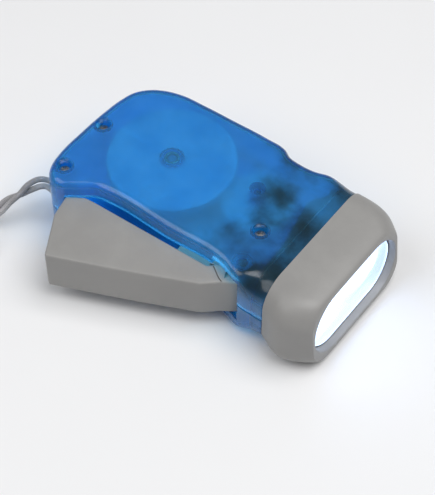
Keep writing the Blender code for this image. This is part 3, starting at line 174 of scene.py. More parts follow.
def roundedBox(halfWidth, halfHeight, corner, steps=12):
    points = []
    for quarter, (side, end) in enumerate([(1, 1), (-1, 1), (-1, -1), (1, -1)]):
        start = math.pi / 2 * quarter
        points += arc(corner, start, start + math.pi / 2, steps, side * (halfWidth - corner),
                      end * (halfHeight - corner))
    return points


def boxAt(y, z, size, steps=12):
    # a rounded section across the body; its size is half width, half height and corner
    return [(y + across, z + up) for across, up in roundedBox(*size, steps)]


def smoothPath(points, steps):
    # a smooth curve through the points, without overshoot where their spacing changes
    spots = [Vector(point) for point in points]
    spans = [(b - a).length for a, b in zip(spots, spots[1:])]
    slopes = [(spots[1] - spots[0]) / spans[0]]
    for i in range(1, len(spots) - 1):
        before = (spots[i] - spots[i - 1]) / spans[i - 1]
        after = (spots[i + 1] - spots[i]) / spans[i]
        slopes.append((before * spans[i] + after * spans[i - 1]) / (spans[i - 1] + spans[i]))
    slopes.append((spots[-1] - spots[-2]) / spans[-1])
    path = []
    for i, span in enumerate(spans):
        for step in range(steps):
            t = step / steps
            path.append(spots[i] * (2 * t**3 - 3 * t**2 + 1) + slopes[i] * span * (t**3 - 2 * t**2 + t)
                        + spots[i + 1] * (3 * t**2 - 2 * t**3) + slopes[i + 1] * span * (t**3 - t**2))
    path.append(spots[-1])
    return path


def tubePiece(name, points, radius, sides=10):
    # a wire along the points, made by hand as a curve and then turned into a mesh with its own UV map
    bpy.ops.object.select_all(action="DESELECT")
    bpy.ops.curve.primitive_nurbs_path_add()
    obj = bpy.context.object
    obj.name = name
    curve = obj.data
    curve.splines.clear()
    spline = curve.splines.new("POLY")
    spline.points.add(len(points) - 1)
    for point, spot in zip(spline.points, points):
        point.co = (*spot, 1)
    curve.bevel_depth = radius
    curve.bevel_resolution = max(0, sides // 2 - 2)
    curve.use_fill_caps = True
    bpy.ops.object.convert(target="MESH")
    obj = bpy.context.object
    openMesh(obj)
    bpy.ops.mesh.normals_make_consistent(inside=False)
    closeMesh()
    return obj


def settle(obj, look, rider, nodes, angle=38):
    # the finished piece: metres, under the frame's origin, smooth, painted, and riding on its body
    applyModifiers(obj)
    cleanMesh(obj)
    shift = Matrix.Translation((layout["x"], layout["y"], layout["z"]))
    obj.data.transform(Matrix.Scale(layout["scale"], 4) @ shift)
    pick(obj)
    bpy.ops.object.shade_smooth_by_angle(angle=math.radians(angle))
    obj.data.materials.clear()
    obj.data.materials.append(finish[look])
    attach(obj, rider)
    if nodes:
        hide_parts(*nodes)
    # the finish's name with an underscore between the words
    "".join("_" + letter.lower() if letter.isupper() else letter for letter in look)


# shared shader groups
def newGroup(name, inputs, outputs):
    # an input with a tuple for its value is a colour, any other is a number
    group = bpy.data.node_groups.new(name, "ShaderNodeTree")
    for label, value in inputs.items():
        kind = "NodeSocketColor" if isinstance(value, tuple) else "NodeSocketFloat"
        group.interface.new_socket(label, in_out="INPUT", socket_type=kind).default_value = value
    for label, kind in outputs.items():
        group.interface.new_socket(label, in_out="OUTPUT", socket_type=kind)
    return group, group.nodes.new("NodeGroupInput"), group.nodes.new("NodeGroupOutput")


def wire(tree, start, end):
    tree.links.new(start, end)


def objectPlace(tree):
    return tree.nodes.new("ShaderNodeTexCoord").outputs["Object"]


def splitNode(tree, vector):
    node = tree.nodes.new("ShaderNodeSeparateXYZ")
    wire(tree, vector, node.inputs[0])
    return node.outputs


def mathNode(tree, operation, first, second=None, clamp=False):
    node = tree.nodes.new("ShaderNodeMath")
    node.operation = operation
    node.use_clamp = clamp
    for socket, value in zip(node.inputs, (first, second)):
        if isinstance(value, (int, float)):
            socket.default_value = value
        elif value is not None:
            wire(tree, value, socket)
    return node.outputs[0]


def noiseNode(tree, vector, scale, detail=3, rough=0.55):
    node = tree.nodes.new("ShaderNodeTexNoise")
    node.inputs["Detail"].default_value = detail
    node.inputs["Roughness"].default_value = rough
    if isinstance(scale, (int, float)):
        node.inputs["Scale"].default_value = scale
    else:
        wire(tree, scale, node.inputs["Scale"])
    wire(tree, vector, node.inputs["Vector"])
    return node


def rampNode(tree, value, low, high):
    node = tree.nodes.new("ShaderNodeMapRange")
    node.interpolation_type = "SMOOTHSTEP"
    node.inputs["From Min"].default_value = low
    node.inputs["From Max"].default_value = high
    wire(tree, value, node.inputs["Value"])
    return node.outputs["Result"]


def mixColor(tree, mask, first, second, mode="MIX"):
    node = tree.nodes.new("ShaderNodeMix")
    node.data_type = "RGBA"
    node.blend_type = mode
    for socket, value in ((node.inputs[0], mask), (node.inputs[6], first), (node.inputs[7], second)):
        if isinstance(value, (int, float)):
            socket.default_value = value
        elif isinstance(value, tuple):
            socket.default_value = (*value, 1.0)
        else:
            wire(tree, value, socket)
    return node.outputs[2]


def makeGrainGroup():
    # fine moulded or ground grain as a normal, and its value for colour and gloss
    group, given, made = newGroup("fineGrain", {"Scale": 3000.0, "Depth": 0.1},
                                  {"Value": "NodeSocketFloat", "Normal": "NodeSocketVector"})
    noise = noiseNode(group, objectPlace(group), given.outputs["Scale"], 2)
    bump = group.nodes.new("ShaderNodeBump")
    bump.inputs["Distance"].default_value = 0.0001
    wire(group, given.outputs["Depth"], bump.inputs["Strength"])
    wire(group, noise.outputs["Fac"], bump.inputs["Height"])
    wire(group, noise.outputs["Fac"], made.inputs["Value"])
    wire(group, bump.outputs["Normal"], made.inputs["Normal"])
    return group


def makeWearGroup():
    # a mask of worn outer edges, broken up by noise
    group, given, made = newGroup("edgeWear", {"Amount": 0.5, "Scale": 600.0}, {"Mask": "NodeSocketFloat"})
    noise = noiseNode(group, objectPlace(group), given.outputs["Scale"], 4, 0.7)
    point = group.nodes.new("ShaderNodeNewGeometry").outputs["Pointiness"]
    edge = rampNode(group, point, 0.515, 0.60)
    mask = mathNode(group, "MULTIPLY", edge, rampNode(group, noise.outputs["Fac"], 0.35, 0.65))
    wire(group, mathNode(group, "MULTIPLY", mask, given.outputs["Amount"], True), made.inputs["Mask"])
    return group


def makeDustGroup():
    # a mask of faint dust and handling marks on faces that look up
    group, given, made = newGroup("dustVeil", {"Amount": 0.2, "Scale": 90.0}, {"Mask": "NodeSocketFloat"})
    noise = noiseNode(group, objectPlace(group), given.outputs["Scale"], 6, 0.62)
    facing = splitNode(group, group.nodes.new("ShaderNodeNewGeometry").outputs["Normal"])
    upward = rampNode(group, facing["Z"], -0.2, 1.0)
    mask = mathNode(group, "MULTIPLY", upward, rampNode(group, noise.outputs["Fac"], 0.38, 0.72))
    wire(group, mathNode(group, "MULTIPLY", mask, given.outputs["Amount"], True), made.inputs["Mask"])
    return group


def makeMottleGroup():
    # slow drift between two colours, as in moulded plastic and cast metal
    group, given, made = newGroup(
        "colorDrift", {"First": (0.5, 0.5, 0.5, 1), "Second": (0.4, 0.4, 0.4, 1), "Scale": 60.0},
        {"Color": "NodeSocketColor"})
    noise = noiseNode(group, objectPlace(group), given.outputs["Scale"], 5, 0.6)
    blend = rampNode(group, noise.outputs["Fac"], 0.3, 0.7)
    wire(group, mixColor(group, blend, given.outputs["First"], given.outputs["Second"]), made.inputs["Color"])
    return group


grainGroup = makeGrainGroup()
wearGroup = makeWearGroup()
dustGroup = makeDustGroup()
mottleGroup = makeMottleGroup()


def useGroup(tree, group, **values):
    node = tree.nodes.new("ShaderNodeGroup")
    node.node_tree = group
    for label, value in values.items():
        node.inputs[label].default_value = (*value, 1.0) if isinstance(value, tuple) else value
    return node


def freshMaterial(name):
    material = bpy.data.materials.new(name)
    material.use_nodes = True
    tree = material.node_tree
    return material, tree, tree.nodes["Principled BSDF"], tree.nodes["Material Output"]


def glossNode(tree, value, roughness):
    # roughness that runs from its first to its second value with the grain
    node = tree.nodes.new("ShaderNodeMapRange")
    node.inputs["To Min"].default_value, node.inputs["To Max"].default_value = roughness
    wire(tree, value, node.inputs["Value"])
    return node.outputs["Result"]


def solidMaterial(name, look):
    # opaque plastic, metal and resin, each with its own grain, drift, wear and dust
    material, tree, shader, _ = freshMaterial(name)
    drift = useGroup(tree, mottleGroup, First=look["color"], Second=look["shade"], Scale=look["driftScale"])
    wear = useGroup(tree, wearGroup, Amount=look["wear"], Scale=look["wearScale"])
    dust = useGroup(tree, dustGroup, Amount=look["dust"], Scale=look["dustScale"])
    grain = useGroup(tree, grainGroup, Scale=look["grainScale"], Depth=look["grainDepth"])
    color = mixColor(tree, wear.outputs["Mask"], drift.outputs["Color"], look["wornColor"])
    color = mixColor(tree, dust.outputs["Mask"], color, look["dustColor"])
    wire(tree, color, shader.inputs["Base Color"])
    wire(tree, glossNode(tree, grain.outputs["Value"], look["roughness"]), shader.inputs["Roughness"])
    wire(tree, grain.outputs["Normal"], shader.inputs["Normal"])
    shader.inputs["Metallic"].default_value = look["metallic"]
    shader.inputs["IOR"].default_value = 1.5
    return material


plain = {"driftScale": 60.0, "wear": 0.35, "wearScale": 600.0, "wornColor": (0.62, 0.62, 0.60), "dust": 0.06,
         "dustScale": 90.0, "dustColor": (0.62, 0.61, 0.58), "grainScale": 3000.0, "grainDepth": 0.12,
         "roughness": (0.38, 0.52), "metallic": 0.0}
looks = {
    "greyPlastic": {"color": (0.290, 0.284, 0.275), "shade": (0.262, 0.257, 0.250), "driftScale": 25.0,
                    "wornColor": (0.40, 0.395, 0.385), "roughness": (0.36, 0.50), "grainDepth": 0.10},
    "whitePlastic": {"color": (0.40, 0.41, 0.40), "shade": (0.33, 0.34, 0.33), "roughness": (0.32, 0.46)},
    "blackPlastic": {"color": (0.020, 0.020, 0.024), "shade": (0.034, 0.034, 0.038),
                     "wornColor": (0.10, 0.10, 0.10)},
    "boardGreen": {"color": (0.012, 0.085, 0.035), "shade": (0.02, 0.13, 0.05), "driftScale": 300.0,
                   "wornColor": (0.35, 0.32, 0.15), "roughness": (0.22, 0.40)},
    "steel": {"color": (0.55, 0.55, 0.55), "shade": (0.42, 0.42, 0.43), "driftScale": 400.0, "metallic": 1.0,
              "wornColor": (0.75, 0.75, 0.74), "grainScale": 5000.0, "roughness": (0.18, 0.38)},
    "zinc": {"color": (0.38, 0.39, 0.40), "shade": (0.31, 0.32, 0.33), "driftScale": 90.0, "metallic": 0.45,
             "wornColor": (0.78, 0.78, 0.78), "roughness": (0.48, 0.66)},
    "brass": {"color": (0.50, 0.38, 0.20), "shade": (0.40, 0.29, 0.14), "driftScale": 400.0, "metallic": 1.0,
              "wornColor": (0.72, 0.58, 0.34), "roughness": (0.30, 0.50)},
    "copper": {"color": (0.70, 0.27, 0.11), "shade": (0.52, 0.17, 0.06), "driftScale": 900.0, "metallic": 1.0,
               "wornColor": (0.85, 0.45, 0.25), "roughness": (0.18, 0.34)},
    "ferrite": {"color": (0.045, 0.045, 0.05), "shade": (0.075, 0.075, 0.08), "driftScale": 500.0,
                "metallic": 0.3, "wornColor": (0.25, 0.25, 0.26), "roughness": (0.40, 0.62)},
}
finish = {name: solidMaterial(name, {**plain, **look}) for name, look in looks.items()}

bluePlastic = {"tint": (0.12, 0.55, 1.0), "shade": (0.08, 0.47, 0.93), "driftScale": 70.0, "ior": 1.50,
               "shadowTint": (0.52, 0.80, 0.93), "roughness": (0.12, 0.22), "grainScale": 900.0,
               "grainDepth": 0.03, "transmission": 0.87, "frost": 0.5, "depthColor": (0.3, 0.83, 0.88),
               "depth": 300.0,
               # painted shade: the dark colour and mask for the roof's patches toward the neck
               "paintedShade": {"color": (0.022, 0.090, 0.130), "scale": 62.0, "contrast": 2.2, "edge": (0.5, 1.2),
                        "along": (-0.026, 0.030), "upward": (0.019, 0.027)}}


def clearMaterial(name, look):
    # clear or tinted plastic that bends light for the eye and lets the lamps' light through as tinted light
    material, tree, shader, output = freshMaterial(name)
    drift = useGroup(tree, mottleGroup, First=look["tint"], Second=look["shade"], Scale=look["driftScale"])
    grain = useGroup(tree, grainGroup, Scale=look["grainScale"], Depth=look["grainDepth"])
    color = drift.outputs["Color"]
    paintedShade = look.get("paintedShade")
    if paintedShade:
        # painted shade: dark patches under the roof that gather toward the neck, standing in for the unlit
        # interior
        place = objectPlace(tree)
        axes = splitNode(tree, place)
        noise = noiseNode(tree, place, paintedShade["scale"], 4)
        cloud = mathNode(tree, "SUBTRACT", noise.outputs["Fac"], 0.5)
        cloud = mathNode(tree, "MULTIPLY", cloud, paintedShade["contrast"])
        forward = rampNode(tree, axes["X"], *paintedShade["along"])
        patches = rampNode(tree, mathNode(tree, "ADD", forward, cloud), *paintedShade["edge"])
        roof = rampNode(tree, axes["Z"], *paintedShade["upward"])
        color = mixColor(tree, mathNode(tree, "MULTIPLY", patches, roof), color, paintedShade["color"])
    wire(tree, color, shader.inputs["Base Color"])
    gloss = glossNode(tree, grain.outputs["Value"], look["roughness"])
    if look.get("frost"):
        # the faces inside the shell are matt
        inside = tree.nodes.new("ShaderNodeAttribute")
        inside.attribute_name = "inside"
        frost = mathNode(tree, "MULTIPLY", inside.outputs["Fac"], look["frost"])
        gloss = mathNode(tree, "MAXIMUM", gloss, frost)
    wire(tree, gloss, shader.inputs["Roughness"])
    wire(tree, grain.outputs["Normal"], shader.inputs["Normal"])
    shader.inputs["IOR"].default_value = look["ior"]
    shader.inputs["Transmission Weight"].default_value = look.get("transmission", 1.0)
    # painted light: the lens glows as if lit through by the lamps behind it
    if look.get("paintedGlow"):
        shader.inputs["Emission Color"].default_value = (*look["paintedGlow"], 1.0)
        shader.inputs["Emission Strength"].default_value = look["paintedGlowStrength"]
    passing = tree.nodes.new("ShaderNodeBsdfTransparent")
    passing.inputs["Color"].default_value = (*look["shadowTint"], 1.0)
    choose = tree.nodes.new("ShaderNodeMixShader")
    wire(tree, tree.nodes.new("ShaderNodeLightPath").outputs["Is Shadow Ray"], choose.inputs[0])
    wire(tree, shader.outputs[0], choose.inputs[1])
    wire(tree, passing.outputs[0], choose.inputs[2])
    wire(tree, choose.outputs[0], output.inputs["Surface"])
    if look.get("depth"):
        # thicker plastic and walls seen along their length are darker
        inner = tree.nodes.new("ShaderNodeVolumeAbsorption")
        inner.inputs["Color"].default_value = (*look["depthColor"], 1.0)
        inner.inputs["Density"].default_value = look["depth"]
        wire(tree, inner.outputs[0], output.inputs["Volume"])
    return material


finish["bluePlastic"] = clearMaterial("bluePlastic", bluePlastic)
# clear lens plastic, with a painted glow of lamp light
finish["clearPlastic"] = clearMaterial("clearPlastic", {
    "tint": (0.93, 0.97, 1.0), "shade": (0.90, 0.95, 1.0), "driftScale": 30.0, "ior": 1.49,
    "shadowTint": (0.97, 0.99, 1.0), "roughness": (0.03, 0.10), "grainScale": 700.0, "grainDepth": 0.03,
    "paintedGlow": (0.50, 0.66, 1.0), "paintedGlowStrength": 0.6})

# what the lit lamps give off, and the mirror's painted reflection: a glow for the lamp light it throws back
glowing = {
    "light": (0.62, 0.80, 1.0), "shade": 0.86, "driftScale": 140.0, "grainScale": 1200.0, "grainDepth": 0.05,
    "lampResin": {"color": (0.9, 0.92, 0.9), "strength": 0.8, "roughness": 0.2, "metallic": 0.0},
    "mirrorCoat": {"color": (0.86, 0.88, 0.90), "strength": 0.08, "roughness": 0.16, "metallic": 1.0}}


def glowingMaterial(name):
    look = glowing[name]
    material, tree, shader, _ = freshMaterial(name)
    dim = tuple(glowing["shade"] * value for value in glowing["light"])
    drift = useGroup(tree, mottleGroup, First=glowing["light"], Second=dim, Scale=glowing["driftScale"])
    grain = useGroup(tree, grainGroup, Scale=glowing["grainScale"], Depth=glowing["grainDepth"])
    wire(tree, grain.outputs["Normal"], shader.inputs["Normal"])
    wire(tree, drift.outputs["Color"], shader.inputs["Emission Color"])
    shader.inputs["Emission Strength"].default_value = look["strength"]
    shader.inputs["Base Color"].default_value = (*look["color"], 1.0)
    shader.inputs["Roughness"].default_value = look["roughness"]
    shader.inputs["Metallic"].default_value = look["metallic"]
    return material


finish["lampResin"] = glowingMaterial("lampResin")
finish["mirrorCoat"] = glowingMaterial("mirrorCoat")


def cordMaterial(name, look):
    # a braided cord: crossing strands on the cord's own UV map with painted shade in the grooves between them,
    # a satin shine and a slow drift in tone
    material, tree, shader, _ = freshMaterial(name)
    axes = splitNode(tree, tree.nodes.new("ShaderNodeUVMap").outputs["UV"])
    along = mathNode(tree, "MULTIPLY", axes["X"], look["stitches"])
    around = mathNode(tree, "MULTIPLY", axes["Y"], look["strands"])
    waves = []
    for operation in ("ADD", "SUBTRACT"):
        angle = mathNode(tree, "MULTIPLY", mathNode(tree, operation, along, around), math.tau)
        waves.append(mathNode(tree, "SINE", angle))
    weave = mathNode(tree, "MULTIPLY", *waves)
    height = mathNode(tree, "ADD", mathNode(tree, "MULTIPLY", weave, 0.5), 0.5)
    # painted shade: the weave's low points take the darker groove colour
    color = mixColor(tree, rampNode(tree, height, 0.05, 0.7), look["groove"], look["color"])
    drift = useGroup(tree, mottleGroup, First=(1.0, 1.0, 1.0), Second=(0.82, 0.82, 0.84), Scale=160.0)
    wire(tree, mixColor(tree, 1.0, color, drift.outputs["Color"], "MULTIPLY"), shader.inputs["Base Color"])
    bump = tree.nodes.new("ShaderNodeBump")
    bump.inputs["Strength"].default_value = look["depth"]
    bump.inputs["Distance"].default_value = 0.0002
    wire(tree, height, bump.inputs["Height"])
    wire(tree, bump.outputs["Normal"], shader.inputs["Normal"])
    shader.inputs["Roughness"].default_value = look["roughness"]
    shader.inputs["Sheen Weight"].default_value = 0.3
    shader.inputs["Sheen Roughness"].default_value = 0.4
    return material


finish["strapCord"] = cordMaterial("strapCord", {
    "stitches": 300.0, "strands": 4.0, "color": (0.56, 0.55, 0.56), "groove": (0.20, 0.20, 0.21),
    "depth": 0.6, "roughness": 0.34})
print("finishes made")

# the body's outline on the plan, from the back of the neck round the rear to the lever side
body = {
    "outline": [(86.9, 27.2), (83.6, 26.98), (77.34, 25.6), (71.52, 23.5), (65.78, 23.09), (61.53, 23.61),
                (58.66, 25.19), (50.49, 25.7), (38.32, 25.3), (25.98, 24.81), (17.21, 24.1), (11.38, 22.3),
                (6.52, 19.31), (2.87, 14.8), (1.3, 9.3), (0.43, 1.6), (0.0, -10.01), (0.17, -19.99),
                (1.04, -25.0), (2.61, -28.4), (6.52, -31.5), (9.91, -31.31), (14.6, -28.29), (19.81, -24.89),
                (23.98, -24.21), (47.01, -24.21), (69.0, -24.21), (73.52, -25.7), (77.51, -26.93),
                (82.99, -27.2), (86.9, -27.2)],
    "height": 28.8, "middle": 14.4, "wall": 1.8, "sink": 0.6, "edge": 3.0, "neckEdge": 9.5, "neckStart": 74.0,
    "neckEnd": 85.0, "partingGap": 0.3, "lip": 0.3, "outlineSteps": 6, "edgeSteps": 8,
    "spigot": {"halfWidth": 25.6, "halfHeight": 13.0, "corner": 7.9, "wall": 1.5, "start": 82.0, "end": 93.0}}
screws = {"places": [(4.4, -2.8), (71.8, -7.3), (5.5, -24.0)], "tip": 7.0, "seat": 24.3, "shank": 0.9,
          "head": 2.2, "headHeight": 1.6, "slotDepth": 0.8, "slotWidth": 0.28, "boss": 3.3, "bossBottom": 20.0,
          "post": 1.9, "bore": 1.2, "recess": 2.5, "recessFloor": 24.0, "recessMouth": 2.9, "chamfer": 0.35}
coreScrews = {"places": [(22.3, 15.8), (39.7, 15.8)], "tip": 8.0, "seat": 19.3, "shank": 0.7, "head": 1.5,
              "headHeight": 1.2, "slotDepth": 0.6, "slotWidth": 0.2, "post": 2.0, "postTop": 12.7,
              "bore": 1.0}
# the four axes, and how the shells hold their shafts
pivot = {"x": 74.4, "y": -20.3}
drive = {"x": 61.0, "y": 6.1}
idler = {"x": 46.4, "y": 1.35}
wheel = {"x": 31.0, "y": 0.0}
held = {
    # radius, free end and axis of each boss
    "upperBosses": [(3.3, 22.8, pivot), (2.7, 20.2, drive), (3.9, 24.8, wheel)],
    "lowerBosses": [(3.3, 6.0, pivot), (2.7, 8.0, drive), (2.7, 8.0, idler), (3.9, 7.6, wheel)],
    # radius, bottom, top and axis of each bore
    "upperBores": [(1.8, 21.4, 26.5, pivot), (1.1, 18.8, 24.3, drive), (2.9, 23.4, 27.2, wheel)],
    "lowerBores": [(1.8, 2.5, 7.4, pivot), (1.1, 2.3, 9.4, drive), (1.1, 2.3, 9.4, idler),
                   (1.8, 2.3, 8.0, wheel), (2.9, 3.7, 9.0, wheel)]}
strapHole = {"bottom": 13.1, "top": 15.7,
             "outline": [(-2.1, -22.396), (0.7, -22.396), (2.8, -20.8), (3.5, -20.8), (3.5, -25.816),
                         (4.9, -26.5), (4.9, -28.4), (1.4, -28.4), (0.7, -27.792), (-2.1, -27.792)]}
coin = {"y": 8.0, "z": 14.4, "roomRadius": 10.3, "roomBack": 83.1, "roomFront": 86.9,
        "cradle": [(82.1, 1.0), (87.9, 1.0), (87.9, 15.0), (82.1, 15.0)], "cradleBottom": 2.3,
        "cradleTop": 6.9,
        "profile": [(0, 83.4), (8.3, 83.4), (8.6, 83.55), (8.75, 83.9), (9.1, 84.0), (9.1, 83.9),
                    (9.4, 83.75), (9.8, 83.85), (10.0, 84.2), (10.0, 86.1), (9.85, 86.45), (9.5, 86.6),
                    (0, 86.6)]}
# the lever's shapes are drawn from its pivot
lever = {"bottom": 6.4, "top": 22.4, "wall": 1.8, "edge": 1.1, "ear": 4.2,
         "inner": [(-10.41, -4.51), (-40.83, -5.60), (-54.8, -6.09), (-58.23, -6.41)],
         "tail": [(-63.5, -9.6), (-63.5, -10.4), (-61.79, -17.81), (-53.59, -32.2)],
         "outer": [(-36.83, -24.99), (-26.29, -20.29), (-7.68, -11.59), (-3.18, -7.41)],
         "front": (0.5, -4.95), "hollowFront": [(5.2, 5.2), (5.2, -4.05), (0, -4.05)],
         "rib": [(-3.18, -2.25), (-26.67, -6.12), (-26.67, -19.32), (-26.29, -19.32), (-7.94, -10.63),
                 (-3.49, -6.76)],
         "ribBottom": 13.0, "ribTop": 15.8, "sectorBottom": 12.7, "sectorTop": 16.1, "hub": 3.9,
         "upperHub": 2.5, "hubBottom": 13.3, "bore": 1.8, "peg": 0.9, "pegTop": 17.5, "clearance": 0.4,
         "opening": {"inner": -1.2, "outer": -19.7, "front": 2.9},
         "notch": [(-9.4, -1.6), (-4.0, -1.6), (-2.0, -2.7), (2.9, -2.7), (2.9, -19.7), (-9.4, -19.7)],
         "notchTop": 25.4}


def edgeRadius(x):
    # the body's rounding grows from the grip to the head
    share = min(1, max(0, (x - body["neckStart"]) / (body["neckEnd"] - body["neckStart"])))
    return body["edge"] + (body["neckEdge"] - body["edge"]) * share * share * (3 - 2 * share)


def halfBody(name, side, depth):
    # one half of the body as a solid, its skin set in by a depth: rows from the parting line over the
    # rounded edge to the flat, all round the outline and closed across the neck
    spots = smoothPath([(x, y, 0) for x, y in body["outline"]], body["outlineSteps"])
    inward = []
    for before, after in zip([spots[0]] + spots[:-1], spots[1:] + [spots[-1]]):
        along = (after - before).normalized()
        inward.append(Vector((-along.y, along.x, 0)))
    inward[0], inward[-1] = Vector((0, -1, 0)), Vector((0, 1, 0))
    middle = body["middle"]
    foot = middle + side * body["partingGap"] / 2

    def row(inset, level):
        return [(*(spot + normal * inset).xy, level) for spot, normal in zip(spots, inward)]

    if depth:
        rows = [row(depth, foot - side * 2), row(depth, foot + side * body["lip"])]
    else:
        rows = [row(body["lip"] * 0.6, foot), row(0, foot + side * body["lip"])]
    for step in range(body["edgeSteps"] + 1):
        angle = math.pi / 2 * step / body["edgeSteps"]
        across, up = math.cos(angle), math.sin(angle)
        rows.append([(*(spot + normal * (edgeRadius(spot.x) * (1 - across) + depth * across)).xy,
                      middle + side * (middle - edgeRadius(spot.x) * (1 - up) - depth * up))
                     for spot, normal in zip(spots, inward)])
    if depth:
        # the hollow runs out of the neck
        rows = [[(points[0][0] + 4, *points[0][1:])] + points + [(points[-1][0] + 4, *points[-1][1:])]
                for points in rows]
    half = gridPiece(name, rows, wrap=True)
    closeHoles(half)
    return half


def halfShell(name, side):
    # the hollow's faces carry the second slot, so that the inside is known once the shell is finished
    shell, hollow = halfBody(name, side, 0), halfBody("hollow", side, body["wall"])
    useSlot(shell, 0)
    useSlot(hollow, 1)
    combine(shell, "DIFFERENCE", hollow)
    return shell


def useSlot(piece, number):
    for _ in range(2):
        piece.data.materials.append(finish["bluePlastic"])
    for face in piece.data.polygons:
        face.material_index = number


def markInside(shell):
    inside = shell.data.attributes.new("inside", "FLOAT", "FACE")
    for value, face in zip(inside.data, shell.data.polygons):
        value.value = face.material_index
        face.material_index = 0


def spigotHalf(side):
    value = body["spigot"]
    wall, wide, foot = value["wall"], value["halfWidth"], side * body["partingGap"] / 2
    outer = roundedBox(wide, value["halfHeight"], value["corner"])
    inner = roundedBox(wide - wall, value["halfHeight"] - wall, value["corner"] - wall)

    def half(points):
        return sorted([spot for spot in points if spot[1] * side > 0],
                      key=lambda spot: -math.atan2(abs(spot[1]), spot[0]))

    outline = ([(-wide, foot)] + half(outer) + [(wide, foot), (wide - wall, foot)] + half(inner)[::-1]
               + [(wall - wide, foot)])
    return outlinePiece("spigot", [(y, z + body["middle"]) for y, z in outline], value["start"], value["end"],
                        alongX=True)


def post(radius, bottom, top, place, sides=36):
    return spunPiece("post", [(0, bottom), (radius, bottom), (radius, top), (0, top)], place, sides)


def leverOpening():
    radius = math.hypot(*lever["tail"][0]) + lever["clearance"]
    inner, outer, front = lever["opening"].values()
    rear = arc(radius, math.pi - math.asin(inner / radius), math.pi - math.asin(outer / radius), 24)
    return outlinePiece("lever opening", rear + [(front, outer), (front, inner)],
                        lever["bottom"] - layout["gap"], lever["top"] + layout["gap"], at(pivot))


def hingeNotch():
    # a step in the upper shell's rim that bares the lever's hinge end
    return outlinePiece("hinge notch", lever["notch"], lever["top"], lever["notchTop"], at(pivot))


def strapOpening():
    return outlinePiece("strap opening", strapHole["outline"], strapHole["bottom"], strapHole["top"])


def finishShell(shell, joined, removed, node):
    for piece in joined:
        useSlot(piece, 1)
    combine(shell, "UNION", *joined)
    combine(shell, "DIFFERENCE", *removed)
    markInside(shell)
    settle(shell, "bluePlastic", "body", [node], 30)


def upperShell():
    shell = halfShell("upperShell", 1)
    parting, top = body["middle"] + body["partingGap"] / 2, body["height"]
    roof = top - body["wall"] + body["sink"]
    floor, narrow, wide = screws["recessFloor"], screws["recess"], screws["recessMouth"]
    # each recess has a small chamfer at its mouth
    recess = [(0, floor), (narrow, floor), (narrow, top - screws["chamfer"]), (wide, top + 0.05),
              (wide, top + 1), (0, top + 1)]
    joined, removed = [spigotHalf(1)], []
    for place in screws["places"]:
        joined.append(post(screws["boss"], screws["bossBottom"], roof, place))
        joined.append(post(screws["post"], parting, screws["bossBottom"] + 1, place))
        removed.append(spunPiece("recess", recess, place, 40))
        removed.append(post(screws["bore"], parting - 1, floor + 1, place, 24))
    joined += [post(radius, end, roof, at(axis)) for radius, end, axis in held["upperBosses"]]
    removed += [post(radius, start, end, at(axis)) for radius, start, end, axis in held["upperBores"]]
    finishShell(shell, joined, removed + [leverOpening(), hingeNotch(), strapOpening()], "upper_shell")


def lowerShell():
    shell = halfShell("lowerShell", -1)
    parting, floor = body["middle"] - body["partingGap"] / 2, body["wall"] - body["sink"]
    joined = [spigotHalf(-1)]
    for value, end in ((screws, parting), (coreScrews, coreScrews["postTop"])):
        joined += [post(value["post"], floor, end, place) for place in value["places"]]
    joined += [post(radius, floor, end, at(axis)) for radius, end, axis in held["lowerBosses"]]
    joined.append(outlinePiece("cradle", coin["cradle"], coin["cradleBottom"], coin["cradleTop"]))
    removed = []
    for value, end in ((screws, parting), (coreScrews, coreScrews["postTop"])):
        removed += [post(value["bore"], value["tip"] - layout["gap"], end + 1, place, 24)
                    for place in value["places"]]
    removed += [post(radius, start, end, at(axis)) for radius, start, end, axis in held["lowerBores"]]
    room = [(0, coin["roomBack"]), (coin["roomRadius"], coin["roomBack"]),
            (coin["roomRadius"], coin["roomFront"]), (0, coin["roomFront"])]
    removed += [leverOpening(), strapOpening()]
    removed.append(spunPiece("cell room", room, (coin["y"], coin["z"]), 64, True))
    finishShell(shell, joined, removed, "lower_shell")


upperShell()
lowerShell()
print("body shells made")

# the bezel's section shares of length, half width, half height and lean, from its back to its front
bezel = {"back": 87.2, "front": 106.8, "halfWidth": 28.6, "halfHeight": 15.0, "corner": 0.63,
         "sections": [(0.0, 0.951, 1.0, 0.0), (0.12, 0.97, 1.0, 0.018), (0.26, 0.992, 1.0, 0.042),
                      (0.42, 0.997, 1.0, 0.059), (0.58, 0.972, 0.99, 0.063), (0.74, 0.923, 0.965, 0.063),
                      (0.88, 0.871, 0.925, 0.063), (0.96, 0.843, 0.885, 0.060), (1.0, 0.825, 0.84, 0.058)],
         "lensWidth": 21.9, "lensHeight": 10.9, "ledge": 0.5, "lensBack": 103.0, "lensFront": 104.2,
         "lensLean": 1.4, "gap": 0.35, "slant": 2.9,
         # the mouth's rings as way back and room round the lens; then half width, half height and corner
         "mouth": [(0, 0.65), (0.1, 0.45), (0.35, 0.3)], "chamber": (23.8, 11.6, 7.0), "socketFront": 93.3,
         "socket": (25.9, 13.3, 8.2), "socketMouth": (26.1, 13.5, 8.4), "rim": (26.9, 14.7, 9.25)}


def leanBack(x, z, share=1.0):
    # the mouth's upper lip lies a little behind its lower lip
    return x - bezel["slant"] * share * (1 + z / bezel["halfHeight"]) / 2


def bezelRing(x, halfWidth, halfHeight, corner, lean=0.0, slanted=0.0):
    return [(leanBack(x, z, slanted), y - lean, z + body["middle"])
            for y, z in roundedBox(halfWidth, halfHeight, corner, 10)]


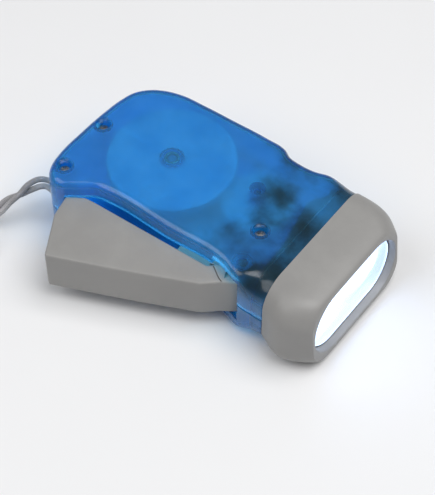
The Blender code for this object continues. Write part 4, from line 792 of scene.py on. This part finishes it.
def headBezel():
    rings = []
    for length, width, height, lean in smoothPath(bezel["sections"], 4):
        halfHeight = bezel["halfHeight"] * height
        rings.append(bezelRing(bezel["back"] + (bezel["front"] - bezel["back"]) * length,
                               bezel["halfWidth"] * width, halfHeight, halfHeight * bezel["corner"],
                               bezel["halfWidth"] * lean, length**4))
    gap, ledge, lean = bezel["gap"], bezel["ledge"], bezel["lensLean"]
    seat, chamberFront = bezel["lensBack"] - gap / 2, bezel["lensBack"] - gap / 2 - ledge

    def lensRing(x, more):
        high = bezel["lensHeight"] + more
        rings.append(bezelRing(x, bezel["lensWidth"] + more, high, high, lean, 1))

    for back, more in bezel["mouth"]:
        lensRing(bezel["front"] - back, gap + more)
    for x, more in ((seat, gap), (seat, -ledge), (chamberFront, -ledge)):
        lensRing(x, more)
    back, front = bezel["back"], bezel["socketFront"]
    for x, section in ((chamberFront, "chamber"), (front, "chamber"), (front, "socket"),
                       (back + 0.3, "socket"), (back, "socketMouth"), (back, "rim")):
        rings.append(bezelRing(x, *bezel[section]))
    settle(gridPiece("headBezel", rings, wrap=True, loop=True), "greyPlastic", "body", ["head_bezel"], 32)


def frontLens():
    wide, high = bezel["lensWidth"], bezel["lensHeight"]
    outline = boxAt(-bezel["lensLean"], body["middle"], (wide, high, high), 24)
    # the box has no straight sides, so its arcs share their ends
    outline = [spot for before, spot in zip(outline[-1:] + outline, outline)
               if math.dist(before, spot) > 0.01]
    lens = outlinePiece("frontLens", outline, bezel["lensBack"], bezel["lensFront"], alongX=True)
    roundEdges(lens, 0.3, 3)
    for vertex in lens.data.vertices:
        vertex.co.x = leanBack(vertex.co.x, vertex.co.z - body["middle"])
    settle(lens, "clearPlastic", "body", ["lens"], 30)


def lensGapShade():
    # a thin dark ring in the gap round the lens: painted shade for the shaded gap
    near, far, lean = 0.04, bezel["gap"] - 0.03, bezel["lensLean"]
    rings = []
    for x, more in ((bezel["lensBack"], near), (bezel["lensFront"] - 0.05, near),
                    (bezel["lensFront"] - 0.05, far), (bezel["lensBack"], far)):
        wide, high = bezel["lensWidth"] + more, bezel["lensHeight"] + more
        rings.append(bezelRing(x, wide, high, high, lean, 1))
    seal = gridPiece("lensGapShade", rings, wrap=True, loop=True)
    settle(seal, "blackPlastic", "body", [], 40)


reflector = {"back": 91.8, "front": 99.7, "flange": 1.2, "section": (23.5, 11.3, 6.7), "cupBack": 2.8,
             "cupFront": 5.3, "cupWall": 0.9, "cupLimit": 5.7, "cupShort": 0.6, "pitch": 11.5, "steps": 9}
lampRow = [(share * reflector["pitch"], body["middle"]) for share in (-1, 0, 1)]


def cupRadius(share):
    # the cup opens quickly at first, as a parabola does
    return reflector["cupBack"] + (reflector["cupFront"] - reflector["cupBack"]) * math.sqrt(share)


def lampReflector():
    front, back = reflector["front"], reflector["back"]
    flange = boxAt(0, body["middle"], reflector["section"], 10)
    piece = outlinePiece("lampReflector", flange, front - reflector["flange"], front, alongX=True)
    shares = [i / reflector["steps"] for i in range(reflector["steps"] + 1)]
    wallFront = front - reflector["cupShort"]
    wall, hollow = [(0, back)], [(0, back - 1), (cupRadius(0), back - 1)]
    for share in shares:
        radius = cupRadius(share)
        outside = min(radius + reflector["cupWall"], reflector["cupLimit"])
        wall.append((outside, back + (wallFront - back) * share))
        hollow.append((radius, back + (front - back) * share))
    wall.append((0, wallFront))
    hollow += [(cupRadius(1), front + 1), (0, front + 1)]
    hollows = []
    for place in lampRow:
        combine(piece, "UNION", spunPiece("cup", wall, place, 40, True))
        hollows.append(spunPiece("hollow", hollow, place, 40, True))
    combine(piece, "DIFFERENCE", *hollows)
    settle(piece, "mirrorCoat", "body", ["reflector"], 40)


led = {"base": 90.5, "radius": 2.5, "flange": 2.9, "flangeTop": 91.5, "top": 99.1}


def lamps():
    radius, wide, flangeTop, base = led["radius"], led["flange"], led["flangeTop"], led["base"]
    dome = arc(radius, math.pi / 2, 0, 8, 0, led["top"] - radius)
    profile = [(0, led["top"])] + dome[1:] + [
        (radius, flangeTop + 0.15), (radius + 0.15, flangeTop), (wide - 0.1, flangeTop),
        (wide, flangeTop - 0.1), (wide, base), (0, base)]
    for number, place in enumerate(lampRow, 1):
        lamp = spunPiece(f"lamp{number}", profile, place, 32, True)
        settle(lamp, "lampResin", "body", [f"led_{number}"], 30)


headBezel()
frontLens()
lensGapShade()
lampReflector()
lamps()
print("head made")


# gears; one that is turned by a partner gets the phase at which their teeth mesh
teeth = {"backlash": 0.25, "foot": 1.25, "pressure": math.radians(20), "steps": 6, "bore": 1.1}
gears = {
    "leverSector": {"axis": pivot, "count": 64, "module": 0.8, "tip": 0.85},
    "drivePinion": {"axis": drive, "count": 10, "module": 0.8, "tip": 0.9, "bottom": 12.0, "top": 16.8,
                    "partner": "leverSector"},
    "driveWheel": {"axis": drive, "count": 40, "module": 0.6, "tip": 0.85, "bottom": 17.4, "top": 19.8},
    "idlerGear": {"axis": idler, "count": 52, "module": 0.5, "tip": 0.85, "bottom": 8.4, "top": 10.2},
    "idlerPinion": {"axis": idler, "count": 11, "module": 0.6, "tip": 0.9, "bottom": 17.0, "top": 19.8,
                    "partner": "driveWheel"},
    "flywheelPinion": {"axis": wheel, "count": 10, "module": 0.5, "tip": 0.9, "bottom": 8.0, "top": 11.0,
                       "partner": "idlerGear"}}


def involute(angle):
    return math.tan(angle) - angle


def toothOutline(gear, phase=0.0, first=0, last=None):
    count, module = gear["count"], gear["module"]
    pitch = count * module / 2
    base = pitch * math.cos(teeth["pressure"])
    outer, root = pitch + gear["tip"] * module, pitch - teeth["foot"] * module
    half = math.pi / (2 * count) - teeth["backlash"] / (2 * pitch) + involute(teeth["pressure"])
    start = max(base, root)
    radii = [root] if root < base else []
    radii += [start + (outer - start) * i / (teeth["steps"] - 1) for i in range(teeth["steps"])]
    flank = [(radius, half - involute(math.acos(min(1, base / max(radius, base))))) for radius in radii]
    points = []
    for tooth in range(first, count if last is None else last):
        centre = phase + math.tau * tooth / count
        turns = [(radius, centre - spread) for radius, spread in flank]
        turns += [(radius, centre + spread) for radius, spread in reversed(flank)]
        points += around(turns)
    return points


def around(turns):
    # radius and angle to flat points
    return [(radius * math.cos(angle), radius * math.sin(angle)) for radius, angle in turns]


def gearBlank(name):
    gear, phase = gears[name], 0
    if "partner" in gear:
        partner = gears[gear["partner"]]
        (startX, startY), (endX, endY) = at(partner["axis"]), at(gear["axis"])
        direction = math.atan2(endY - startY, endX - startX)
        phase = direction + math.pi + math.pi / gear["count"] + direction * partner["count"] / gear["count"]
    blank = outlinePiece(name, toothOutline(gear, phase), gear["bottom"], gear["top"], at(gear["axis"]))
    roundEdges(blank, 0.07, 1, 60)
    return blank


def ring(inner, outer, bottom, top, place, steps=64):
    return spunPiece("ring", [(inner, bottom), (outer, bottom), (outer, top), (inner, top)], place, steps)


def drivePinion():
    # the sleeve below and the collar and hub above, as radius, bottom and top
    gear, spot = gearBlank("drivePinion"), at(drive)
    combine(gear, "UNION", post(1.6, 8.4, 12.6, spot), post(3.0, 16.2, 17.4, spot),
            post(2.0, 16.8, 18.4, spot))
    combine(gear, "DIFFERENCE", post(teeth["bore"], 7.4, 19.4, spot, 32))
    settle(gear, "zinc", "pinion", ["drive_pinion"])


pawl = {"inner": 3.6, "outer": 7.4, "width": 1.1, "sweep": math.radians(70), "steps": 12, "bottom": 17.7,
        "top": 18.5, "bore": 2.3}


def clutchPawl():
    # a sprung ring with two arms that catch the ratchet one way
    inner, width, sweep, steps = pawl["inner"], pawl["width"], pawl["sweep"], pawl["steps"]
    reach = pawl["outer"] - inner
    root = width / reach
    turns = []
    for start in (0, math.pi):
        shares = [step / steps for step in range(steps + 1)]
        turns += [(inner + reach * share, start + sweep * share) for share in shares]
        back = [1 - (1 - root) * share for share in shares]
        turns += [(inner + reach * share - width, start + sweep * share) for share in back]
        turns += [(inner, start + sweep * root + (math.pi - sweep * root) * share) for share in shares[1:-1]]
    piece = outlinePiece("clutchPawl", around(turns), pawl["bottom"], pawl["top"], at(drive))
    combine(piece, "DIFFERENCE", post(pawl["bore"], pawl["bottom"] - 1, pawl["top"] + 1, at(drive)))
    roundEdges(piece, 0.08, 1, 60)
    settle(piece, "steel", "pinion", ["clutch_pawl"])


ratchet = {"teeth": 16, "inner": 7.8, "outer": 8.8, "bottom": 16.4, "top": 18.9}


def driveWheel():
    gear, saw = gearBlank("driveWheel"), []
    for tooth in range(ratchet["teeth"]):
        saw += [(ratchet["inner"], math.tau * tooth / ratchet["teeth"]),
                (ratchet["outer"], math.tau * (tooth + 1) / ratchet["teeth"])]
    combine(gear, "DIFFERENCE",
            outlinePiece("ratchet", around(saw), ratchet["bottom"], ratchet["top"], at(drive)),
            post(teeth["bore"], 16, 21, at(drive), 32), ring(2.4, 9.7, 19.45, 20.8, at(drive)))
    settle(gear, "whitePlastic", "wheel", ["drive_wheel"])


def idlerGear():
    # a wide wheel with a thin web below, a small one above and a sleeve between them
    gear, spot = gearBlank("idlerGear"), at(idler)
    combine(gear, "DIFFERENCE", ring(3.6, 11.2, 9.7, 11.2, spot), ring(3.6, 11.2, 7.4, 8.9, spot))
    small = gearBlank("idlerPinion")
    combine(gear, "UNION", post(2.6, 9.0, 17.6, spot), small)
    combine(gear, "DIFFERENCE", post(teeth["bore"], 7.4, 20.8, spot, 32))
    settle(gear, "whitePlastic", "idler", ["idler_gear"])


def flywheelPinion():
    # a press fit on the shaft
    gear = gearBlank("flywheelPinion")
    combine(gear, "DIFFERENCE", post(1.55, 7, 12, at(wheel), 32))
    settle(gear, "brass", "flywheel", ["flywheel_pinion"])


drivePinion()
clutchPawl()
driveWheel()
idlerGear()
flywheelPinion()
print("gears made")


def rod(radius, bottom, top, chamfer):
    return [(0, bottom), (radius - chamfer, bottom), (radius, bottom + chamfer), (radius, top - chamfer),
            (radius - chamfer, top), (0, top)]


def bush(bottom, top):
    return [(1.8, bottom + 0.15), (1.95, bottom), (2.4, bottom), (2.6, bottom + 0.2), (2.6, top - 0.2),
            (2.4, top), (1.95, top), (1.8, top - 0.15)]


# turned pieces: the half section from the axis or the bore outwards, then axis, body, finish, node and steps
turned = {
    "flywheelDisc": ([(1.8, 20.0), (3.8, 20.0), (4.0, 20.2), (4.0, 22.9), (6.05, 22.9), (6.2, 23.05),
                      (6.2, 24.7), (6.4, 24.9), (17.3, 24.9), (17.5, 24.7), (17.5, 23.1), (17.7, 22.9),
                      (21.3, 22.9), (21.5, 23.1), (21.5, 26.0), (21.1, 26.4), (4.4, 26.4), (4.3, 26.3),
                      (4.3, 24.4), (1.8, 24.4)], wheel, "flywheel", "zinc", "flywheel", 128),
    "flywheelShaft": (rod(1.5, 2.6, 26.4, 0.2), wheel, "flywheel", "steel", "flywheel_shaft", 40),
    "magnetRotor": ([(1.8, 12.5), (6.1, 12.5), (6.5, 12.9), (6.5, 19.1), (6.1, 19.5), (1.8, 19.5)],
                    wheel, "flywheel", "ferrite", "magnet_rotor", 64),
    "floorBush": (bush(4.0, 7.3), wheel, "body", "brass", "floor_bush", 40),
    "roofBush": (bush(25.1, 26.9), wheel, "body", "brass", "roof_bush", 40),
    "leverPin": (rod(1.5, 2.8, 26.2, 0.25), pivot, "body", "steel", "lever_pin", 40),
    "driveShaft": (rod(0.8, 2.6, 24.0, 0.15), drive, "body", "steel", "drive_shaft", 32),
    "idlerShaft": (rod(0.8, 2.6, 20.6, 0.15), idler, "body", "steel", "idler_shaft", 32),
}
for name, (profile, axis, rider, look, node, steps) in turned.items():
    settle(spunPiece(name, profile, at(axis), steps), look, rider, [node])


def threadedScrew(name, place, value, node):
    # a pan head with a cross slot, and a thread cut as rings down the shank
    tip, seat, shank, head = value["tip"], value["seat"], value["shank"], value["head"]
    crown, high = seat + value["headHeight"], value["headHeight"]
    profile = [(0, tip), (shank * 0.35, tip + 0.2)]
    level, pitch = tip + 0.8, shank * 0.85
    while level + pitch < seat - 0.8:
        profile += [(shank * 0.78, level), (shank, level + pitch / 2)]
        level += pitch
    profile += [(shank * 0.8, level), (shank * 0.8, seat), (head - 0.12, seat), (head, seat + 0.15),
                (head * 0.985, seat + high * 0.55), (head * 0.86, seat + high * 0.86), (head * 0.62, crown),
                (0, crown)]
    screw = spunPiece(name, profile, place, 36)
    long, narrow = head * 0.56, value["slotWidth"]
    for wide, deep in ((long, narrow), (narrow, long)):
        corners = [(wide, deep), (-wide, deep), (-wide, -deep), (wide, -deep)]
        slot = outlinePiece("slot", corners, crown - value["slotDepth"], crown + 1, place)
        combine(screw, "DIFFERENCE", slot)
    settle(screw, "steel", "body", [node])


for number, place in enumerate(screws["places"], 1):
    threadedScrew(f"shellScrew{number}", place, screws, f"shell_screw_{number}")
for number, place in enumerate(coreScrews["places"], 1):
    threadedScrew(f"coreScrew{number}", place, coreScrews, f"core_screw_{number}")
print("turned pieces made")

# the generator's stator
stator = {"inner": 7.0, "outer": 10.4, "pole": math.radians(48), "shoulder": 1.7, "back": (14.0, 17.6),
          "bottom": 13.0, "plateTop": 13.56, "plates": 10, "pitch": 0.604}


def statorCore():
    # one plate of the stack, then its copies
    inner, outer, pole, (near, far) = stator["inner"], stator["outer"], stator["pole"], stator["back"]
    shoulder = inner * math.sin(pole) + stator["shoulder"]
    outline = (arc(inner, math.pi - pole, math.pi + pole, 20) + arc(outer, math.pi + pole, math.pi, 16)
               + [(-outer, far), (outer, far)] + arc(outer, 0, -pole, 16) + arc(inner, -pole, pole, 20)
               + [(inner, shoulder), (inner, near), (-inner, near), (-inner, shoulder)])
    plate = outlinePiece("statorCore", outline, stator["bottom"], stator["plateTop"], at(wheel))
    for place in coreScrews["places"]:
        combine(plate, "DIFFERENCE", post(coreScrews["bore"], 12, 15, place, 24))
    stack = plate.modifiers.new("stack", "ARRAY")
    stack.count = stator["plates"]
    stack.use_relative_offset = False
    stack.use_constant_offset = True
    stack.constant_offset_displace = (0, 0, stator["pitch"])
    settle(plate, "steel", "body", ["stator_core"])


coil = {"start": 24.3, "end": 37.7, "y": 15.8, "z": 16.0, "halfY": 2.8, "halfZ": 4.0, "corner": 0.8,
        "flange": (4.2, 5.4, 0.8), "flangeThick": 1.0,
        "hole": [(2.1, 3.3), (-2.1, 3.3), (-2.1, -3.3), (2.1, -3.3)],
        "wire": 0.2, "turns": 24, "layers": [0.5, 0.92], "margin": 1.5,
        "leads": [(25.8, 14.7), (34.9, 17.3)], "leadWire": 0.3, "leadY": 20.6, "leadEnd": 88.3}


def coilBobbin():
    tube = boxAt(coil["y"], coil["z"], (coil["halfY"], coil["halfZ"], coil["corner"]), 6)
    flange = boxAt(coil["y"], coil["z"], coil["flange"], 6)
    bobbin = outlinePiece("coilBobbin", tube, coil["start"] + 0.6, coil["end"] - 0.6, alongX=True)
    for start in (coil["start"], coil["end"] - coil["flangeThick"]):
        side = outlinePiece("flange", flange, start, start + coil["flangeThick"], alongX=True)
        roundEdges(side, 0.15, 2)
        combine(bobbin, "UNION", side)
    hole = [(coil["y"] + y, coil["z"] + z) for y, z in coil["hole"]]
    combine(bobbin, "DIFFERENCE", outlinePiece("hole", hole, coil["start"] - 1, coil["end"] + 1, alongX=True))
    settle(bobbin, "whitePlastic", "body", ["coil_bobbin"])


def coilWinding():
    # one wire in two layers, there and back along the bobbin
    first, length = coil["start"] + coil["margin"], coil["end"] - coil["start"] - 2 * coil["margin"]
    path = []
    for layer, rise in enumerate(coil["layers"]):
        section = roundedBox(coil["halfY"] + rise, coil["halfZ"] + rise, coil["corner"] + rise, 4)
        for turn in range(coil["turns"] - layer):
            for i, (y, z) in enumerate(section):
                share = (turn + i / len(section)) / coil["turns"]
                x = first + length * (share if layer == 0 else 1 - share)
                path.append((x, coil["y"] + y, coil["z"] + z))
    settle(tubePiece("coilWinding", path, coil["wire"], 8), "copper", "body", ["coil_winding"])


def coilLeads():
    for number, (start, level) in enumerate(coil["leads"], 1):
        route = [(start, 19.9, level)]
        route += [(x, coil["leadY"], level) for x in (start + 1.3, start + 2.6, 60.0, coil["leadEnd"])]
        lead = tubePiece(f"coilLead{number}", smoothPath(route, 10), coil["leadWire"], 12)
        settle(lead, "copper", "body", [f"coil_lead_{number}"])


# the torsion spring round the hub: its fixed leg rests on a screw boss, its free leg on the lever's peg
spring = {"radius": 3.4, "wire": 0.35, "points": 32, "turns": 3, "top": 19.95, "drop": 3.2,
          "leave": math.radians(105), "away": math.radians(195), "boss": (13.0, 2.6), "lean": 0.55,
          "fixedLeg": 14.0, "freeLeg": 12.0, "pegAlong": 10.2, "pegAside": 1.55}


def returnSpring():
    radius, away = spring["radius"], spring["away"]
    along, aside = spring["boss"]
    fixed = math.pi + math.asin(spring["lean"] / math.hypot(along, aside)) + math.atan2(aside, along)
    turn = spring["leave"] + math.tau * spring["turns"] - fixed
    count = round(turn / math.tau * spring["points"])
    spots = [Vector((x, y, spring["top"] - spring["drop"] * i / count))
             for i, (x, y) in enumerate(arc(radius, fixed, fixed + turn, count))]
    start = spots[0] + spring["fixedLeg"] * Vector((math.sin(fixed), -math.cos(fixed), 0))
    end = spots[-1] + spring["freeLeg"] * Vector((math.cos(away), math.sin(away), 0))
    path = [spot + Vector((*at(pivot), 0)) for spot in [start] + spots + [end]]
    settle(tubePiece("returnSpring", path, spring["wire"], 12), "steel", "body", ["return_spring"])


statorCore()
coilBobbin()
coilWinding()
coilLeads()
returnSpring()
print("generator made")


# electronics in the neck
board = {"section": (23.8, 11.2, 6.1), "back": 88.6, "front": 90.2}


def lampBoard():
    outline = boxAt(0, body["middle"], board["section"], 8)
    plate = outlinePiece("lampBoard", outline, board["back"], board["front"], alongX=True)
    roundEdges(plate, 0.1, 1)
    settle(plate, "boardGreen", "body", ["led_board"])


# the shape of the dark sheet that paints shade in the neck
shadeLinerShape = {"front": 88.3, "section": (24.0, 11.4, 6.3), "thick": 0.5, "foot": -4.0, "bend": 4.0, "steps": 8,
         "fine": 6,
         "cut": [(-24, 82.4), (-19, 81.3), (-14, 80.2), (-9, 81.6), (-4, 79.6), (1, 81.0), (6, 77.8),
                 (11, 76.4), (15, 77.6), (18, 80.4), (21, 79.4), (24, 82.6)]}


def paintedShadeLiner():
    # a black sheet that lines the neck behind the lamp board, with an uneven rear edge: painted shade for the
    # dark neck interior
    cuts = smoothPath([(y, x, 0) for y, x in shadeLinerShape["cut"]], 6)
    fine = shadeLinerShape["fine"]

    def rearEdge(y):
        return min((abs(spot.x - y), spot.y) for spot in cuts)[1]

    arches = []
    for inset in (0, shadeLinerShape["thick"]):
        wide, high, corner = [size - inset for size in shadeLinerShape["section"]]
        upper = [spot for spot in roundedBox(wide, high, corner, 10) if spot[1] > shadeLinerShape["bend"]]
        side = [(wide, shadeLinerShape["foot"])] + upper + [(-wide, shadeLinerShape["foot"])]
        arches.append([(a[0] + (b[0] - a[0]) * step / fine, a[1] + (b[1] - a[1]) * step / fine)
                       for a, b in zip(side, side[1:]) for step in range(fine)] + [side[-1]])
    section = arches[0] + arches[1][::-1]
    rows = [[(rearEdge(y) + (shadeLinerShape["front"] - rearEdge(y)) * share / shadeLinerShape["steps"], y, z + body["middle"])
             for y, z in section] for share in range(shadeLinerShape["steps"] + 1)]
    piece = gridPiece("paintedShadeLiner", rows, wrap=True)
    closeHoles(piece)
    settle(piece, "blackPlastic", "body", [], 40)


diode = {"x": 87.0, "places": [(-15.0, 9.0), (-7.2, 9.0), (-15.0, 19.8), (-7.2, 19.8)],
         "profile": [(0, 3.7), (0.22, 3.7), (0.3, 3.62), (0.3, 2.3), (1.1, 2.3), (1.3, 2.1), (1.3, 1.7),
                     (1.22, 1.65), (1.22, 1.1), (1.3, 1.05), (1.3, -2.1), (1.1, -2.3), (0.3, -2.3),
                     (0.3, -3.62), (0.22, -3.7), (0, -3.7)]}


def diodes():
    for number, (y, z) in enumerate(diode["places"], 1):
        piece = spunPiece(f"diode{number}", diode["profile"], (0, 0), 28)
        piece.data.transform(Matrix.Translation((diode["x"], y, z)) @ Matrix.Rotation(math.pi / 2, 4, "X"))
        settle(piece, "blackPlastic", "body", [f"diode_{number}"])


def coinCell():
    cell = spunPiece("coinCell", coin["profile"], (coin["y"], coin["z"]), 72, True)
    settle(cell, "steel", "body", ["coin_cell"])


def bentStrip(name, outline, node):
    # drawn from the side and given its width across the body
    strip = outlinePiece(name, outline, -2.0, 2.0)
    strip.data.transform(Matrix(((1, 0, 0, 0), (0, 0, 1, coin["y"]), (0, 1, 0, 0), (0, 0, 0, 1))))
    cleanMesh(strip)
    roundEdges(strip, 0.06, 1)
    settle(strip, "brass", "body", [node])


lampBoard()
paintedShadeLiner()
diodes()
coinCell()
bentStrip("cellContact", [(86.9, 8.0), (87.2, 8.0), (87.2, 17.2), (88.0, 17.2), (88.0, 15.0), (88.3, 15.0),
                          (88.3, 17.5), (86.9, 17.5)], "cell_contact")
bentStrip("cellClip", [(82.8, 8.0), (83.1, 8.0), (83.1, 24.7), (88.0, 24.7), (88.0, 22.5), (88.3, 22.5),
                       (88.3, 25.0), (82.8, 25.0)], "cell_clip")
print("electronics made")


def insetPath(points, distance):
    # an open path moved to its right, with mitred corners
    spots = [Vector(point) for point in points]
    rights = []
    for a, b in zip(spots, spots[1:]):
        along = (b - a).normalized()
        rights.append(Vector((along.y, -along.x)))
    moved = []
    for i, spot in enumerate(spots):
        before, after = rights[max(i - 1, 0)], rights[min(i, len(rights) - 1)]
        moved.append(spot + (before + after) / (1 + before.dot(after)) * distance)
    return [(spot.x, spot.y) for spot in moved]


def leverSector():
    # the toothed fan, closed by an arc at its rear and a step at its front
    fan = toothOutline(gears["leverSector"], 0, 19, 27)
    start, end = [math.atan2(y, x) for x, y in (fan[0], fan[-1])]
    rear, front = arc(24.6, end, math.radians(197), 16), arc(22.2, math.radians(153), start, 16)
    return fan + rear[1:] + [(0, 0)] + front


# the catch beside the hinge: a small pocket and a thin curved groove in the lever's top
catch = {"pocket": [(70.0, -22.8), (71.3, -25.6), (72.0, -24.3), (74.3, -24.4), (74.6, -23.2)],
         "pocketDepth": 1.4, "grooveWidth": 0.4, "grooveDepth": 0.6,
         "groove": [(65.3, -23.3, 0), (68.0, -25.1, 0), (70.5, -26.6, 0), (71.5, -26.9, 0)]}


def squeezeLever():
    spot = at(pivot)
    bottom, top, wall = lever["bottom"], lever["top"], lever["wall"]
    ear = arc(lever["ear"], math.radians(-60), math.radians(150), 32)
    outline = ear + lever["inner"] + lever["tail"] + lever["outer"] + [lever["front"]]
    grip = outlinePiece("squeezeLever", outline, bottom, top, spot)
    roundEdges(grip, lever["edge"], 5, 25)
    inset = insetPath((lever["tail"] + lever["outer"])[::-1], wall)
    hollow = inset + [(inset[-1][0], lever["hollowFront"][0][1])] + lever["hollowFront"]
    combine(grip, "DIFFERENCE", outlinePiece("hollow", hollow, bottom + wall, top - wall, spot))
    # the peg for the spring's leg
    leave, away = spring["leave"], spring["away"]
    peg = (spring["radius"] * math.cos(leave) + spring["pegAlong"] * math.cos(away)
           - spring["pegAside"] * math.sin(away),
           spring["radius"] * math.sin(leave) + spring["pegAlong"] * math.sin(away)
           + spring["pegAside"] * math.cos(away))
    combine(grip, "UNION",
            post(lever["hub"], bottom + 0.9, lever["sectorTop"] + 0.3, spot),
            post(lever["upperHub"], lever["hubBottom"], top - 0.9, spot),
            outlinePiece("rib", lever["rib"], lever["ribBottom"], lever["ribTop"], spot),
            outlinePiece("sector", leverSector(), lever["sectorBottom"], lever["sectorTop"], spot),
            post(lever["peg"], lever["hubBottom"], lever["pegTop"], (spot[0] + peg[0], spot[1] + peg[1]), 24))
    groove = [(point.x, point.y) for point in smoothPath(catch["groove"], 4)]
    groove += insetPath(groove, catch["grooveWidth"])[::-1]
    combine(grip, "DIFFERENCE",
            post(lever["bore"], bottom - 1, top + 1, spot, 40),
            outlinePiece("pocket", catch["pocket"], top - catch["pocketDepth"], top + 1),
            outlinePiece("groove", groove, top - catch["grooveDepth"], top + 1))
    settle(grip, "greyPlastic", "lever", ["squeeze_lever"], 30)


squeezeLever()
print("lever made")

# the doubled wrist cord: two strands out of the rear wall, with its unseen length in a coil
strap = {"radius": 1.0, "pair": 2.48, "sides": 16, "step": 0.6, "length": 0.338,
         "route": [(-0.2, -25.1, 14.4), (-2.0, -25.2, 14.5), (-3.9, -26.6, 14.8), (-6.0, -29.6, 13.9),
                   (-7.7, -32.9, 12.0), (-10.2, -36.0, 9.8), (-11.6, -39.2, 7.7), (-12.8, -42.4, 6.2)],
         "twists": [0, 5, 25, 75, 125, 165, 180, 180],
         "near": [(-9.8, -47.5, 5.2), (-7.8, -52.5, 4.2), (-7.1, -57.0, 3.4)],
         "far": [(-18.6, -44.0, 3.4), (-24.4, -44.4, 1.4), (-28.8, -47.4, 0.6)],
         "innerBack": [(1.6, -23.1, 14.4), (3.4, -21.6, 14.4)],
         "innerFront": [(3.4, -26.5, 14.4), (1.6, -26.6, 14.4)],
         "coilX": -20.5, "coilY": -58.5, "coilRadius": 12.2, "coilPitch": 2.46, "coilTurns": 3.5,
         "coilSteps": 24, "facing": math.radians(65), "table": -0.6}


def strandPair():
    spots = [Vector(spot) for spot in strap["route"]]
    first, second = [], []
    for i, (spot, twist) in enumerate(zip(spots, strap["twists"])):
        heading = (spots[min(i + 1, len(spots) - 1)] - spots[max(i - 1, 0)]).normalized()
        right = heading.cross(Vector((0, 0, 1))).normalized()
        offset = right * math.cos(math.radians(twist)) + right.cross(heading) * math.sin(math.radians(twist))
        first.append(spot + offset * strap["pair"] / 2)
        second.append(spot - offset * strap["pair"] / 2)
    return first, second


def coilSpot(turns):
    half = strap["coilTurns"] / 2
    angle = strap["facing"] + math.pi / 2 + math.tau * turns
    radius = strap["coilRadius"] - strap["coilPitch"] * (half - abs(turns - half))
    climb = min(1, max(0, (turns - half) * 2 + 0.5))
    level = strap["table"] + 0.1 + strap["radius"] + strap["coilPitch"] * climb * climb * (3 - 2 * climb)
    return Vector((strap["coilX"] + radius * math.cos(angle), strap["coilY"] + radius * math.sin(angle),
                   level))


def cordPath():
    back, front = strandPair()
    facing = Vector((math.cos(strap["facing"]), math.sin(strap["facing"]), 0))
    bend = screws["post"] + layout["gap"] + strap["radius"]
    heel = arc(bend, math.pi / 2, -math.pi / 2, 8, *screws["places"][2])
    turn = [(x, y, body["middle"]) for x, y in heel]
    turns = round(strap["coilTurns"] * strap["coilSteps"])
    winding = [coilSpot(strap["coilTurns"] * i / turns) for i in range(turns + 1)]
    begin, end = [spot + facing * 2.0 + facing * 0.3 for spot in (winding[0], winding[-1])]
    points = (turn[4:] + strap["innerFront"] + front + strap["far"] + [begin] + winding + [end]
              + strap["near"][::-1] + back[::-1] + strap["innerBack"] + turn[:4])
    fine = smoothPath(points, 12)
    # the same line with its points at an even spacing
    even, left = [fine[0]], 0.0
    for a, b in zip(fine, fine[1:]):
        span = (b - a).length
        while left + span >= strap["step"]:
            a = a + (b - a) * ((strap["step"] - left) / span)
            even.append(a)
            span = (b - a).length
            left = 0.0
        left += span
    return even


def wristCord():
    path, rows = cordPath(), []
    side = Vector((0, 0, 1))
    for i, spot in enumerate(path):
        heading = (path[min(i + 1, len(path) - 1)] - path[max(i - 1, 0)]).normalized()
        side = (side - heading * side.dot(heading)).normalized()
        other = heading.cross(side)
        rows.append([spot + side * x + other * y
                     for x, y in arc(strap["radius"], 0, math.tau, strap["sides"])[:-1]])
    cord = gridPiece("wristCord", rows, wrap=True)
    closeHoles(cord)
    length = sum((b - a).length for a, b in zip(path, path[1:])) * layout["scale"]
    print("wrist cord length in metres", round(length, 4))
    settle(cord, "strapCord", "body", ["strap_strands", "strap_coil"], 60)


wristCord()
print("wrist cord made")

# floor, lamps and camera
stage = {"target": (0.0055, -0.0005, 0.0150), "away": (0.1883, -0.2499, 0.4153), "lens": 117.6,
         "floor": (0.84, 0.84, 0.845), "floorShade": 0.985, "sky": (0.97, 0.98, 1.0, 1), "skyStrength": 0.24,
         # place, aim, size and power of each soft box
         "topBox": ((0.35, 0.10, 1.0), (0, 0, 0), (0.8, 0.8), 8.8),
         "leverSideBox": ((-0.40, -0.52, 0.82), (0, 0, 0.01), (0.7, 0.7), 3.4)}


def paleFloor():
    material, tree, shader, _ = freshMaterial("paleFloor")
    shade = tuple(stage["floorShade"] * value for value in stage["floor"])
    drift = useGroup(tree, mottleGroup, First=stage["floor"], Second=shade, Scale=6.0)
    wire(tree, drift.outputs["Color"], shader.inputs["Base Color"])
    shader.inputs["Roughness"].default_value = 0.7
    shader.inputs["Specular IOR Level"].default_value = 0.2
    bpy.ops.object.select_all(action="DESELECT")
    bpy.ops.mesh.primitive_plane_add(size=6, location=(0, 0, -0.0001))
    floor = bpy.context.object
    floor.name = "paleFloor"
    floor.data.materials.append(material)


def softBox(name):
    place, aim, size, power = stage[name]
    bpy.ops.object.light_add(type="AREA", location=place)
    box = bpy.context.object
    box.name = name
    box.data.shape = "RECTANGLE"
    box.data.size, box.data.size_y = size
    box.data.energy = power
    box.rotation_euler = (Vector(aim) - Vector(place)).to_track_quat("-Z", "Y").to_euler()


def paleSky():
    world = bpy.data.worlds.new("studio")
    world.use_nodes = True
    world.node_tree.nodes["Background"].inputs["Color"].default_value = stage["sky"]
    world.node_tree.nodes["Background"].inputs["Strength"].default_value = stage["skyStrength"]
    bpy.context.scene.world = world


def aimCamera():
    target = Vector(stage["target"])
    place = target + Vector(stage["away"])
    bpy.ops.object.camera_add(location=place)
    camera = bpy.context.object
    camera.rotation_euler = (target - place).to_track_quat("-Z", "Y").to_euler()
    camera.data.lens = stage["lens"]
    camera.data.sensor_width = 36
    camera.data.clip_start = 0.01
    camera.data.clip_end = 20
    bpy.context.scene.camera = camera


paleFloor()
softBox("topBox")
softBox("leverSideBox")
paleSky()
bpy.context.scene.view_settings.view_transform = "Standard"
aimCamera()
print("stage made")
